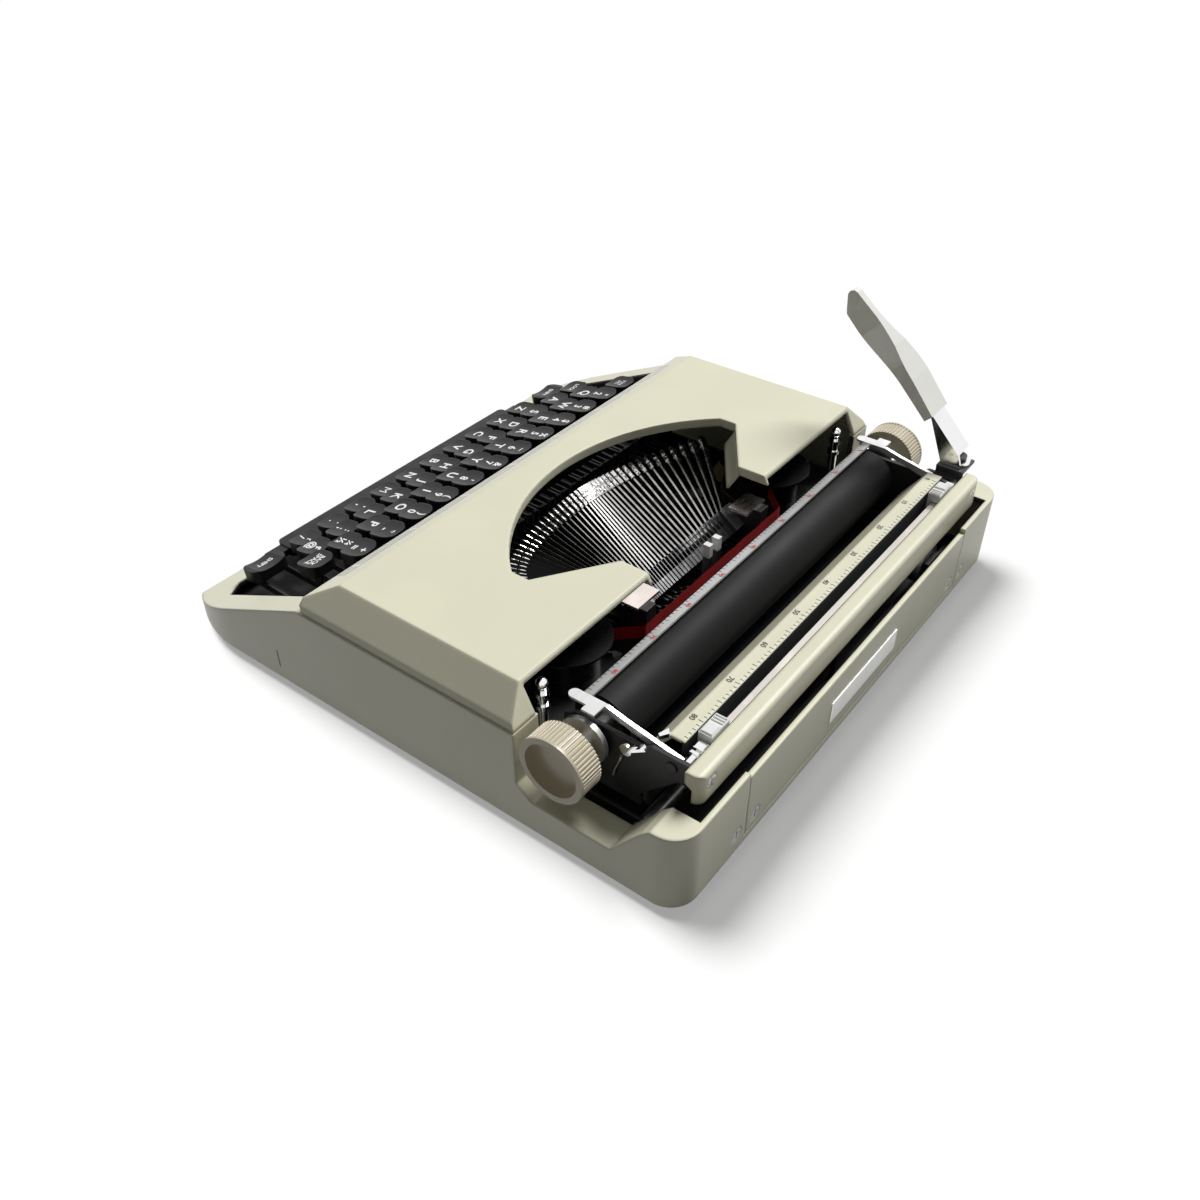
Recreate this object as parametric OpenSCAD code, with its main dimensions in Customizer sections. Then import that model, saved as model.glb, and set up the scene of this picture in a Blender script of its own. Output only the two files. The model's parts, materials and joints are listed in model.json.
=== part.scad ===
// Flat portable manual typewriter with a hinged ribbon cover.
// X runs to the typist's right, Y away from the typist, Z up from the table.

/* [Case] */
// Width of the case, left side to right side
case_w = 283; // [280:1:296]
// Depth of the case, front lip to back face
case_d = 287; // [284:1:300]
// Thickness of the case walls
wall = 2.6; // [2:0.1:3]
// Height of the case sides up to the cover, over the case floor
side_h = 47; // [46:0.5:50]
// Height of the low rear rim, over the case floor
rear_h = 37; // [35:0.5:37]
// Slope of the rim beside the keyboard, degrees
rim_slope = 24.6; // [23:0.2:26]
// Width of the rim beside the keyboard
rim_w = 12.5; // [10:0.5:14]
// Height of the knob recess floor, over the case floor
recess_h = 15.5; // [13:0.5:15.5]
// Radius of the rear upright corners
rear_r = 12; // [8:1:16]
// Height of the rubber feet
foot_h = 6; // [4:0.5:10]
// Radius of the rubber feet
foot_r = 9; // [7:0.5:11]

/* [Ribbon cover] */
// Height of the cover top, over the case floor
cover_h = 61; // [60:0.5:64]
// Thickness of the cover shell
cover_t = 2; // [1.6:0.1:2.4]
// Inward lean of the cover sides between base and top
cover_lean = 11.6; // [10:0.2:13]
// Radius of the curved front of the type window
window_r = 105.5; // [103:0.5:108]
// Half width of the neck of the type window
neck_w = 46.5; // [44:0.5:48]

/* [Keyboard] */
// Spacing of the keys along a row
key_pitch = 18.1; // [17.4:0.1:18.4]
// Spacing of the rows from front to back
row_pitch = 18; // [17.5:0.25:18.5]
// Rise from one row to the next
row_rise = 8; // [7:0.25:8.5]
// Height of the front letter row, over the case floor
row_h = 22; // [21:0.5:24]
// Width of a letter key
cap_w = 14.8; // [13:0.2:15.2]
// Depth of a letter key
cap_d = 13.4; // [12:0.2:14]
// Height of a letter key
cap_h = 6; // [5:0.25:6.5]
// Length of the space bar
space_w = 170; // [150:2:176]
// Thickness of the key levers
lever_t = 1; // [0.8:0.1:1.2]
// Height of the key levers
lever_h = 3.5; // [3:0.25:3.5]
// Radius of the rod the key levers turn on
pivot_r = 2; // [1.6:0.1:2.4]

/* [Type basket] */
// Radius of the circle of type bar pivots
basket_r = 40; // [38:0.5:42]
// Angle from one type bar to the next, degrees
bar_step = 3.38; // [3.2:0.02:3.4]
// Thickness of a type bar
bar_t = 0.9; // [0.7:0.05:1]
// Length of a type bar from pivot to type face
bar_len = 50.5; // [49:0.1:50.7]
// Radius of the pivot wire
wire_r = 0.8; // [0.6:0.05:1]

/* [Carriage] */
// Radius of the rubber platen
platen_r = 13.3; // [12:0.1:13.6]
// Distance of the platen axis from the back face
platen_back = 57.8; // [57:0.2:58.6]
// Height of the platen axis, over the case floor
platen_h = 39.3; // [38.6:0.1:40]
// Length of the platen
platen_w = 220; // [214:1:222]
// Radius of the platen knobs
knob_r = 14.7; // [13:0.1:15]
// Length of the platen knobs
knob_len = 11.5; // [10:0.5:14]
// Radius of the carriage rails
rail_r = 3.5; // [3:0.1:4]
// Angle of the return lever over the horizontal, degrees
lever_rise = 45; // [42:1:50]
// Length of the return lever from pivot to tip
lever_len = 97; // [88:1:100]
// Radial clearance of turning and sliding fits
fit = 0.05; // [0.03:0.01:0.08]

/* [Hidden] */
$fn = 48;
gap = 0.4;
xh = case_w/2;
yb = case_d/2;
yf = -case_d/2;
zb = foot_h;
eps = 0.01;
// Front corners sweep in with a wide radius and end at the lip
front_r = 64;
front_sweep = 40;
lip_h = 4.4;
// The rim slope meets the level side here
rim_top_y = yf + (side_h - lip_h)/tan(rim_slope);
// Knob recess, measured forward from the back face
recess_front = 75;
recess_floor_end = 31;
ramp_top = 18;
rim_back = 14;
well_x = xh - rim_w;
seam_x = xh - 44.9;
seam_gap = 0.3;
panel_low = zb + 4;
screw_r = 1.5;
screw_head_r = 3;
// Cover hinge
hinge_y = rim_top_y + 5;
hinge_z = zb + side_h + 2.2;
hinge_r = 1.2;
hinge_pin_in = 3.5;
hinge_pin_out = 8;
hinge_x = xh - 29.5;
lug_r = 2.2;
lug_w = 5;
cover_gap = 0.4;
cover_base_z = zb + side_h + cover_gap;
cover_skirt = 3;
cover_nose_z = cover_base_z + 5.6;
cover_front_y = rim_top_y + 2;
cover_top_front_y = rim_top_y + 16.5;
cover_top_rear_y = yb - 82;
cover_rear_y = yb - recess_front - 0.3;
cover_x = xh - 0.6;
// Band of the cover in front of the type window
window_band = 13.45;
window_y = cover_top_front_y + window_band + window_r;
// Keyboard
fulcrum_y = yb - 96;
fulcrum_z = zb + 8;
lever_rise_h = 5;
stem_d = 5;
stem_in = 2;
hub_t = 2.4;
row_y = yf + 25;
letter_keys = 11;
// Rows are staggered: lower, home, upper and number row
row_shift = [8.6, -0.5, -5, 2];
// The letter H is the one key that is worked out through to its type bar
h_row = 1;
h_key = 5;
lock_x = -6*key_pitch;
back_space_x = 103.6;
release_x = -104.8;
shift_x = 106.5;
shift_arm_x = shift_x + 5;
space_y = yf + 12.2;
space_top = zb + 13.6;
space_d = 12;
// The space bar's arms run between the levers, outside the lower row
space_arm_left = (key_x(1, 0) + key_x(2, 0))/2;
space_arm_right = key_x(3, 10) + lever_t + 1.1;
// Type basket plane: pivots lie on a tilted circle open to the top
bars = 43;
mid_bar = (bars - 1)/2;
basket_tilt = 54;
apex_y = yb - 112;
apex_z = zb + 16;
fan_tilt = 46;
// Type segment: slotted half in front, plain rim behind it
segment_in = basket_r - 5;
segment_out = basket_r + 8;
segment_half = 3.5;
segment_back = 9;
segment_low = zb + 11;
segment_plate_z = zb + 43.6;
// Carriage
platen_gap = 8;
plate_x = platen_w/2 + platen_gap;
plate_t = 2;
bay_x = plate_x + 9;
px = yb - platen_back;
pz = zb + platen_h;
shaft_r = 3;
rubber_t = 3.3;
knob_x = plate_x + 23.6;
rail_y1 = yb - 60;
rail_y2 = yb - 30;
rail_z = zb + 9.8;
rail_x = xh - 18.7;
bearing_w = 40;
rack_half = plate_x - 16;
stop_x = plate_x - 20;
trough_z = zb + recess_h + 0.9;
trough_t = 1.2;
bail_y = yb - 21;
bail_z = zb + 45;
bail_x = plate_x - 3.5;
rack_y0 = yb - 17;
rack_y1 = yb - 14.5;
rack_z0 = zb + 46;
rack_z1 = zb + 48.6;
swing_x = -plate_x - 8.5;
swing_y = yb - 20;
swing_z = zb + 53.3;
swing_r = 2.5;
// Levels and depths that the pieces of the carriage share
tray_front = yb - 66;
tray_back = yb - 31.4;
shelf_z = zb + 41;
plate_back = yb - 13.6;
plate_top = zb + 49.5;
small_pin_r = 1.5;
release_y = yb - 40;
release_z = zb + 43.5;
// Chromed strip of the return lever, its height over the pivot's line and its end inside the grip
lever_w = 13;
lever_t2 = 1.5;
lever_up = 5.8;
lever_in = 38;
roller_r = 3.8;
roller_z = pz - platen_r - roller_r - gap;
spool_x = 82;
spool_y = yb - 98;
spool_z = zb + 27.5;
cup_floor_z = spool_z - 2;
spool_r = 20;
spool_h = 16;
hub_r = 2.5;
ribbon_h = 12.5;
ribbon_in = 1.4;
// Chromed posts that guide the ribbon behind the spools
post_x = spool_x + 35.5;
post_y = yb - 81;
// Chassis inside the case
chassis_t = 1.6;
chassis_x = rail_x - chassis_t;
chassis_low = zb + wall + 0.2;
cross_top = zb + 12;
// Spring drum and escape wheel turn on studs at the back of the chassis
stud_r = 2;
stud_front = yb - 22.5;
drum_x = 19.6 - seam_x;
drum_z = zb + 24.5;
wheel_r = 9;
wheel_z = zb + 27.2;

// Shapes used by several parts

module box(x0, x1, y0, y1, z0, z1) {
    translate([x0, y0, z0]) cube([x1 - x0, y1 - y0, z1 - z0]);
}

module rod_x(r, x0, x1, y, z) {
    translate([x0, y, z]) rotate([0, 90, 0]) cylinder(r = r, h = x1 - x0);
}

module rod_y(r, x, z, y0, y1) {
    translate([x, y1, z]) rotate([90, 0, 0]) cylinder(r = r, h = y1 - y0);
}

module rod_z(r, x, y, z0, z1) {
    translate([x, y, z0]) cylinder(r = r, h = z1 - z0);
}

// Side outline in Y and Z drawn out along X
module along_x(x0, x1) {
    translate([x0, 0, 0]) rotate([90, 0, 90]) linear_extrude(x1 - x0) children();
}

module both() {
    for (s = [-1, 1]) scale([s, 1, 1]) children();
}

module pill(w, d, r) {
    square([w - 2*r, d], center = true);
    square([w, d - 2*r], center = true);
    for (sx = [-1, 1], sy = [-1, 1]) translate([sx*(w/2 - r), sy*(d/2 - r)]) circle(r);
}

// Case

module case_plan(g) {
    hw = xh - g;
    rr = rear_r - g;
    rf = front_r - g;
    f = yf + front_sweep;
    intersection() {
        union() {
            translate([-hw, f]) square([2*hw, yb - g - rr - f]);
            translate([-(hw - rr), f]) square([2*(hw - rr), yb - g - f]);
            translate([-(hw - rf), f - rf]) square([2*(hw - rf), rf + eps]);
            for (s = [-1, 1]) {
                translate([s*(hw - rr), yb - g - rr]) circle(rr);
                translate([s*(hw - rf), f]) circle(rf, $fn = 96);
            }
        }
        translate([-hw, yf + g]) square([2*hw, yb - yf - 2*g]);
    }
}

module case_side(g) {
    t = g/cos(rim_slope);
    polygon([[yf - eps, zb + g], [yb + eps, zb + g], [yb + eps, zb + rear_h - g],
        [yb - rim_back - g/2, zb + rear_h - g], [yb - ramp_top - g/2, zb + rear_h - 4 - g],
        [yb - recess_floor_end - g/2, zb + recess_h - g],
        [yb - recess_front + 7 - g, zb + recess_h - g],
        [yb - recess_front - g, zb + recess_h + 6 - g],
        [yb - recess_front - g, zb + side_h - g], [rim_top_y, zb + side_h - t],
        [yf - eps, zb + lip_h - t]]);
}

// Keyboard well, its front corners cut to follow the case
module well_plan() {
    front = space_y + 4;
    corner = 12;
    polygon([[-well_x, rim_top_y + 2 + eps], [well_x, rim_top_y + 2 + eps], [well_x, front + 0.8*corner],
        [well_x - corner, front], [corner - well_x, front], [-well_x, front + 0.8*corner]]);
}

// Ledge in the case that the back panel screws to
module panel_ledge() {
    ledge_t = 1.8;
    in = 11;
    out = 3;
    top = zb + 16;
    y = yb - wall;
    both() box(seam_x - in, seam_x + out, y - ledge_t, y, panel_low, top);
    both() box(seam_x + 2*seam_gap, seam_x + out, y - ledge_t, y + ledge_t/2, panel_low, top);
}

module lower_case() {
    bar_room = 2.6;
    arm_room = 2.4;
    bar_front = space_y - space_d/2 - bar_room;
    cover_bay_x = xh - wall - 2;
    color("BurlyWood") difference() {
        panel_ledge();
        panel_screw_places() screw_hole();
    }
    color("BurlyWood") difference() {
        intersection() {
            translate([0, 0, zb]) linear_extrude(cover_h) case_plan(0);
            along_x(-xh - 1, xh + 1) case_side(0);
        }
        intersection() {
            translate([0, 0, zb]) linear_extrude(cover_h) case_plan(wall);
            along_x(-xh - 1, xh + 1) case_side(wall);
        }
        // Carriage bay, cover bay, keyboard well and space bar bay
        box(-bay_x, bay_x, yb - recess_front - wall - eps, yb - wall, zb + wall, zb + cover_h);
        box(-cover_bay_x, cover_bay_x, rim_top_y + 2, yb - recess_front - wall, zb + wall, zb + cover_h);
        translate([0, 0, zb + wall]) linear_extrude(cover_h) well_plan();
        box(space_arm_left - arm_room, space_arm_right + arm_room, bar_front, space_y + 5,
            zb + wall, zb + cover_h);
        rear_panel_shape(seam_gap);
        panel_screw_places() screw_hole();
        foot_places() rod_z(foot_r/3 + fit, 0, 0, zb - 1, zb + wall + 1);
    }
}

module rear_panel_shape(g) {
    box(-seam_x - g, seam_x + g, yb - wall - eps, yb + eps, panel_low - g, zb + rear_h + 1);
}

module rear_panel() {
    drop = 2;
    color("BurlyWood") difference() {
        box(-seam_x, seam_x, yb - wall, yb, panel_low, zb + rear_h - drop);
        panel_screw_places() screw_hole();
    }
}

module panel_screw_places() {
    offset_x = 6.75;
    for (s = [-1, 1], o = [-1, 1]) translate([s*(seam_x + o*offset_x), yb, zb + 9.6]) children();
}

module screw_hole() {
    rotate([90, 0, 0]) {
        translate([0, 0, -1]) cylinder(r = screw_head_r + fit, h = 2);
        cylinder(r = screw_r + fit, h = 12);
    }
}

module screw() {
    slot = 0.7;
    head = 1;
    rotate([90, 0, 0]) difference() {
        union() {
            cylinder(r = screw_head_r, h = head);
            cylinder(r = screw_r, h = 8);
        }
        cube([screw_head_r*1.5, slot, head], center = true);
        cube([slot, screw_head_r*1.5, head], center = true);
    }
}

module case_screws() {
    color("Silver") panel_screw_places() screw();
}

module foot_places() {
    inset = 34;
    for (sx = [-1, 1], y = [yf + inset + 14, yb - inset]) translate([sx*(xh - inset), y, 0]) children();
}

module rubber_feet() {
    color("DimGray") foot_places() {
        rod_z(foot_r, 0, 0, 0, zb);
        rod_z(foot_r/3, 0, 0, 0, zb + wall);
    }
}

// Chassis inside the case

module chassis_frame() {
    side_top = zb + 14.5;
    // Uprights and a cross bar at the front carry the cover's hinge lugs
    front_y = hinge_y - lug_r;
    front_d = 8;
    bar_d = 5;
    bar_low = zb + 30;
    bar_top = zb + 42;
    back_y = yb - 10;
    back_d = 4;
    // Pads under the ribbon cups
    pad_y0 = yb - 112;
    pad_y1 = yb - 84;
    // Cross member under the type segment and the posts up to its end plates
    cross_y0 = yb - 86;
    cross_y1 = yb - 80;
    post_x0 = 43;
    post_x1 = 50;
    post_y0 = yb - 92;
    // Brackets of the two studs
    stud_half = 6;
    stud_up = 5;
    stud_t = 2;
    drum_back = yb - 5.5;
    wheel_back = yb - 11.5;
    color("DarkSlateGray") difference() {
        union() {
            both() {
                box(chassis_x, rail_x, front_y, back_y, chassis_low, side_top);
                box(chassis_x, rail_x, front_y, front_y + front_d, chassis_low, bar_top);
                box(chassis_x, rail_x, pad_y0, pad_y1, chassis_low, cup_floor_z);
                box(post_x0, post_x1, post_y0, cross_y1, cross_top, segment_plate_z);
                box(hinge_x - lug_w/2, hinge_x + lug_w/2, hinge_y - 1, hinge_y + 1.6, zb + 38, hinge_z);
                rod_x(lug_r, hinge_x - lug_w/2, hinge_x + lug_w/2, hinge_y, hinge_z);
            }
            box(-chassis_x, chassis_x, front_y, front_y + bar_d, bar_low, bar_top);
            box(-chassis_x, chassis_x, cross_y0, cross_y1, chassis_low, cross_top);
            box(-chassis_x, chassis_x, back_y - back_d, back_y, chassis_low, cross_top);
            box(drum_x - stud_half, drum_x + stud_half, drum_back - stud_t, drum_back, chassis_low,
                drum_z + stud_up);
            box(drum_x - stud_half, drum_x + stud_half, back_y, drum_back, chassis_low, cross_top);
            rod_y(stud_r, drum_x, drum_z, stud_front, drum_back - stud_t/2);
            box(-stud_half, stud_half, wheel_back - stud_t, wheel_back, chassis_low, wheel_z + stud_up);
            rod_y(stud_r, 0, wheel_z, stud_front, wheel_back - stud_t/2);
        }
        rod_x(pivot_r, -xh, xh, fulcrum_y, fulcrum_z);
        rod_x(rail_r, -xh, xh, rail_y1, rail_z);
        rod_x(rail_r, -xh, xh, rail_y2, rail_z);
        rod_x(hinge_r + fit, -xh, xh, hinge_y, hinge_z);
        segment_blank(segment_in - 1, segment_out, segment_back);
    }
}

module carriage_rails() {
    color("Silver") for (y = [rail_y1, rail_y2]) rod_x(rail_r, -rail_x, rail_x, y, rail_z);
}

module key_fulcrum_rod() {
    color("Silver") rod_x(pivot_r, -rail_x, rail_x, fulcrum_y, fulcrum_z);
}

// Key levers run low and level; this gives their height at a depth
function lever_z(y) = fulcrum_z + lever_rise_h*(fulcrum_y - y)/(fulcrum_y - row_y);
function row_pos(row) = row_y + row*row_pitch;
function row_top(row) = zb + row_h + row*row_rise;
function row_count(row) = row == 0 ? letter_keys - 1 : letter_keys;
function key_x(row, k) = row_shift[row] + key_pitch*(k - 5);

module key_comb() {
    slot = lever_t + 1;
    y = rim_top_y + 4.5;
    thick = 1.5;
    top = zb + 20;
    // Room under the levers for their travel
    travel = 5.6;
    slot_base = lever_z(y) - lever_h/2 - travel;
    color("Gray") difference() {
        box(-chassis_x, chassis_x, y, y + thick, chassis_low, top);
        for (row = [0:3], k = [0:row_count(row) - 1])
            box(key_x(row, k) - slot/2, key_x(row, k) + slot/2, y - 1, y + thick + 1, slot_base, top + 1);
        for (x = [shift_arm_x, -shift_arm_x, lock_x, back_space_x, release_x, space_arm_left,
            space_arm_right]) box(x - slot/2, x + slot/2, y - 1, y + thick + 1, slot_base, top + 1);
    }
}

// Type basket

module in_basket() {
    translate([0, apex_y, apex_z]) rotate([basket_tilt - 90, 0, 0]) translate([0, 0, basket_r]) children();
}

// Pivot of one type bar on the tilted circle
module bar_place(i) {
    in_basket() rotate([0, -(i - mid_bar)*bar_step, 0]) translate([0, 0, -basket_r]) children();
}

// The bars lean outward more and more toward the ends of the basket
function fan(i) = fan_tilt*pow(abs(i - mid_bar)/mid_bar, 1.4);

// The slotted half in front, and the plain rim behind it toward the platen
module segment_blank(inner, outer, back) {
    sweep = bars*bar_step + 4;
    in_basket() rotate([90, 0, 0]) rotate([0, 0, -90 - sweep/2]) rotate_extrude(angle = sweep, $fn = 96)
        translate([inner, -back]) square([outer - inner, back + segment_half]);
}

module type_segment() {
    slot = bar_t + 0.75;
    deep = 3;
    groove = 0.8;
    groove_deep = 1.2;
    color("DimGray") difference() {
        segment_blank(segment_in, segment_out, segment_back);
        for (i = [0:bars - 1]) bar_place(i) {
            translate([-slot/2, -segment_half - 1, -deep]) cube([slot, 2*segment_half + 1, 20]);
            translate([-groove/2, 0, basket_r - segment_in - groove_deep])
                cube([groove, segment_back + 1, 20]);
            rotate([fan(i), 0, 0]) translate([-slot/2, -20, -1.8]) cube([slot, 20, 6]);
        }
        segment_ring(wire_r);
        box(-60, 60, apex_y - 40, apex_y + 60, zb - 60, segment_low);
    }
}

module segment_ring(r) {
    sweep = bars*bar_step + 4;
    in_basket() rotate([90, 0, 0]) rotate([0, 0, -90 - sweep/2])
        rotate_extrude(angle = sweep, $fn = 96) translate([basket_r, 0]) circle(r, $fn = 24);
}

module segment_wire() {
    color("Silver") segment_ring(wire_r);
}

// One type bar with its slug, lying forward from its pivot
module type_bar(lean) {
    bar_h = 2.6;
    slug_l = 8.5;
    slug_w = 1.9;
    slug_h = 4.4;
    hub = 2.2;
    rotate([lean, 0, 0]) {
        translate([-bar_t/2, 0, 0]) rotate([0, 90, 0]) cylinder(r = hub, h = bar_t);
        translate([-bar_t/2, -bar_len, -bar_h/2]) cube([bar_t, bar_len, bar_h]);
        translate([-slug_w/2, -bar_len - slug_l/2, -slug_h/2]) cube([slug_w, slug_l, slug_h]);
    }
}

module type_bars() {
    color("Silver") difference() {
        for (i = [0:bars - 1]) if (i != mid_bar) bar_place(i) type_bar(fan(i));
        segment_ring(wire_r + fit);
    }
}

module letter_h_type_bar() {
    color("Silver") difference() {
        bar_place(mid_bar) type_bar(0);
        rod_x(wire_r + fit, -5, 5, apex_y, apex_z);
    }
}

module segment_plates() {
    inner = 36;
    outer = 52;
    front = yb - 93.5;
    back = yb - 83;
    thick = 1.4;
    color("Gainsboro") both() box(inner, outer, front, back, segment_plate_z, segment_plate_z + thick);
}

module type_guide() {
    half = 2.2;
    out = 5;
    front = yb - 81.5;
    back = yb - 78;
    fork_z = zb + 31;
    base_h = 4;
    stem_half = 2.5;
    stem_front = yb - 83;
    stem_back = yb - 80;
    top = zb + 52;
    color("White") {
        box(-out, out, front, back, fork_z, fork_z + base_h);
        box(-stem_half, stem_half, stem_front, stem_back, cross_top, fork_z + base_h);
        both() box(half, out, front, back, fork_z + base_h, top);
    }
}

module type_rest() {
    pad_z = zb + 26;
    pad_sweep = 76;
    pad_r = 92;
    pad_w = 8;
    pad_h = 4;
    pad_y = apex_y + 65.5;
    leg_t = 1.6;
    leg_y0 = yb - 125;
    leg_y1 = yb - 119;
    // The legs stand between key levers
    leg_x = [(key_x(3, 8) + key_x(0, 8))/2, (key_x(2, 2) + key_x(0, 1))/2];
    color("DarkSlateGray") {
        translate([0, pad_y, pad_z]) rotate([0, 0, 270 - pad_sweep/2])
            rotate_extrude(angle = pad_sweep, $fn = 96) translate([pad_r, 0]) square([pad_w, pad_h]);
        for (x = leg_x) box(x - leg_t/2, x + leg_t/2, leg_y0, leg_y1, zb + wall, pad_z + eps);
    }
}

// Ribbon

module spool_places() {
    both() translate([spool_x, spool_y, 0]) children();
}

module ribbon_cups() {
    cup_r = 23.5;
    cup_t = 1.2;
    cup_h = 7;
    hub_out = 2;
    bracket_in = 15;
    bracket_front = 8;
    bracket_back = 3;
    floor_top = cup_floor_z + cup_t;
    color("DimGray") {
        spool_places() rod_z(cup_r, 0, 0, cup_floor_z, floor_top);
        spool_places() difference() {
            rod_z(cup_r, 0, 0, cup_floor_z, cup_floor_z + cup_h);
            rod_z(cup_r - cup_t, 0, 0, floor_top, cup_floor_z + cup_h + 1);
            translate([-cup_r - 1, 0, floor_top]) cube([2*cup_r + 2, cup_r + 1, cup_h]);
        }
        spool_places() rod_z(hub_r, 0, 0, cup_floor_z, spool_z + spool_h + hub_out);
        // Bracket from the cup to the chassis side, which also carries the ribbon post
        both() box(spool_x + bracket_in, rail_x - 0.2, spool_y - bracket_front, post_y + bracket_back,
            cup_floor_z, floor_top);
    }
}

module ribbon_posts() {
    base = spool_z - 0.8;
    stem_r = 2.2;
    collar_r = 3;
    collar_t = 2;
    low_collar = zb + 40;
    stem_top = zb + 46;
    neck_r = 1.6;
    ball_r = 2.6;
    ball_z = zb + 52;
    color("Silver") both() translate([post_x, post_y, 0]) {
        rod_z(stem_r, 0, 0, base, stem_top);
        rod_z(collar_r, 0, 0, low_collar, low_collar + collar_t);
        rod_z(collar_r, 0, 0, stem_top, stem_top + collar_t);
        rod_z(neck_r, 0, 0, stem_top, ball_z);
        translate([0, 0, ball_z]) sphere(ball_r);
    }
}

module ribbon() {
    t = 0.4;
    line_y = yb - 77;
    bend_x = 56;
    end_x = spool_x - 13.4;
    end_y = spool_y + 7.6;
    color("DarkRed") translate([0, 0, spool_z + ribbon_in]) linear_extrude(ribbon_h)
        polygon([[-end_x, end_y], [-bend_x, line_y], [bend_x, line_y], [end_x, end_y],
            [end_x, end_y + t], [bend_x, line_y + t], [-bend_x, line_y + t], [-end_x, end_y + t]]);
}

module spool() {
    top = spool_z + spool_h;
    flange_t = 1;
    core_r = 15;
    drive_r = 1.6;
    drive_x = 6;
    drive_deep = 3;
    color("Black") difference() {
        union() {
            rod_z(spool_r, 0, 0, spool_z, spool_z + flange_t);
            rod_z(core_r, 0, 0, spool_z, top);
            rod_z(spool_r, 0, 0, top - flange_t, top);
        }
        rod_z(hub_r + fit, 0, 0, spool_z - 1, top + 1);
        for (a = [0, 120, 240]) rotate([0, 0, a]) rod_z(drive_r, drive_x, 0, top - drive_deep, top + 1);
    }
}

module spool_right() {
    translate([spool_x, spool_y, 0]) spool();
}

module spool_left() {
    translate([-spool_x, spool_y, 0]) spool();
}

// Small works inside

module margin_bell() {
    // Its stem stands between two key levers
    x = (release_x + key_x(2, 0))/2;
    y = yb - 128;
    stem_r = 2;
    stem_h = 22;
    bell_z = 16;
    bell_h = 7;
    mouth_r = 12;
    crown_r = 8;
    shell = 1.4;
    color("Goldenrod") translate([x, y, zb + wall]) {
        rod_z(stem_r, 0, 0, 0, stem_h);
        translate([0, 0, bell_z]) difference() {
            cylinder(r1 = mouth_r, r2 = crown_r, h = bell_h);
            translate([0, 0, -1])
                cylinder(r1 = mouth_r - shell/2, r2 = crown_r - shell, h = bell_h - shell + 1);
        }
    }
}

module mainspring_drum() {
    drum_r = 10.5;
    flange = 1.5;
    front = yb - 21;
    back = yb - 8;
    color("Gray") difference() {
        union() {
            rod_y(drum_r, drum_x, drum_z, front, front + flange);
            rod_y(drum_r - flange, drum_x, drum_z, front, back);
            rod_y(drum_r, drum_x, drum_z, back - flange, back);
        }
        rod_y(stud_r + fit, drum_x, drum_z, stud_front - 1, yb);
    }
}

module escape_wheel() {
    teeth = 24;
    tooth_gap_r = 0.7;
    front = yb - 20;
    thick = 2.5;
    color("Silver") difference() {
        rod_y(wheel_r, 0, wheel_z, front, front + thick);
        rod_y(stud_r + fit, 0, wheel_z, stud_front - 1, yb);
        for (i = [0:teeth - 1]) translate([0, front - 1, wheel_z]) rotate([0, i*360/teeth, 0])
            translate([wheel_r, 0, 0]) rotate([-90, 0, 0]) cylinder(r = tooth_gap_r, h = thick + 2, $fn = 16);
    }
}

// Cover

// The hollow inside runs on past the base and the open back
module cover_side(g) {
    below = g > 0 ? 1 : 0;
    past = 2*below;
    f = cover_front_y + g;
    base = cover_base_z - below;
    top = zb + cover_h - g;
    polygon([[f + 2, base], [f, cover_base_z + cover_skirt], [f, cover_nose_z],
        [cover_top_front_y + g/2, top], [cover_top_rear_y + past, top], [cover_rear_y + past, base]]);
}

module cover_end(g) {
    x0 = cover_x - g;
    base = cover_base_z - (g > 0 ? 1 : 0);
    polygon([[-x0, base], [x0, base], [x0 - 1, cover_base_z + cover_skirt],
        [x0 - cover_lean, zb + cover_h - g], [cover_lean - x0, zb + cover_h - g],
        [1 - x0, cover_base_z + cover_skirt]]);
}

module cover_form(g) {
    intersection() {
        along_x(-xh, xh) cover_side(g);
        translate([0, yb, 0]) rotate([90, 0, 0]) linear_extrude(case_d) cover_end(g);
    }
}

// Wall that closes the back of each raised side
module cover_back_wall() {
    inner = xh - 13.5;
    intersection() {
        cover_form(0);
        along_x(inner, xh) polygon([[cover_top_rear_y - cover_t, zb + cover_h],
            [cover_top_rear_y, zb + cover_h], [cover_rear_y, cover_base_z],
            [cover_rear_y - cover_t, cover_base_z]]);
    }
}

// Type window: curved front, slanting cheeks and a neck open to the back
module window_plan(g) {
    cheek_x = 80 + g;
    cheek_y = yb - 118.3 + g;
    neck_y = yb - 96 + g;
    intersection() {
        translate([0, window_y]) circle(window_r + g, $fn = 128);
        polygon([[-cheek_x, yb - 180], [cheek_x, yb - 180], [cheek_x, cheek_y], [neck_w + g, neck_y],
            [neck_w + g, yb], [-neck_w - g, yb], [-neck_w - g, neck_y], [-cheek_x, cheek_y]]);
    }
}

module ribbon_cover() {
    lip = 4.4;
    lip_t = 1.6;
    color("Cornsilk") difference() {
        union() {
            difference() {
                cover_form(0);
                cover_form(cover_t);
            }
            both() cover_back_wall();
            intersection() {
                cover_form(0);
                translate([0, 0, zb + cover_h - lip]) linear_extrude(lip) window_plan(lip_t);
            }
            both() box(hinge_x + 3.2, hinge_x + hinge_pin_out, hinge_y - 0.8, hinge_y + 5,
                hinge_z - 1.6, hinge_z + 5);
        }
        translate([0, 0, zb]) linear_extrude(cover_h + 1) window_plan(0);
        both() rod_x(hinge_r, hinge_x, hinge_x + hinge_pin_out, hinge_y, hinge_z);
        both() rod_x(lug_r + gap, hinge_x - hinge_pin_in - gap, hinge_x + lug_w/2 + gap, hinge_y, hinge_z);
        trim_seat(0.1);
    }
}

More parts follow.
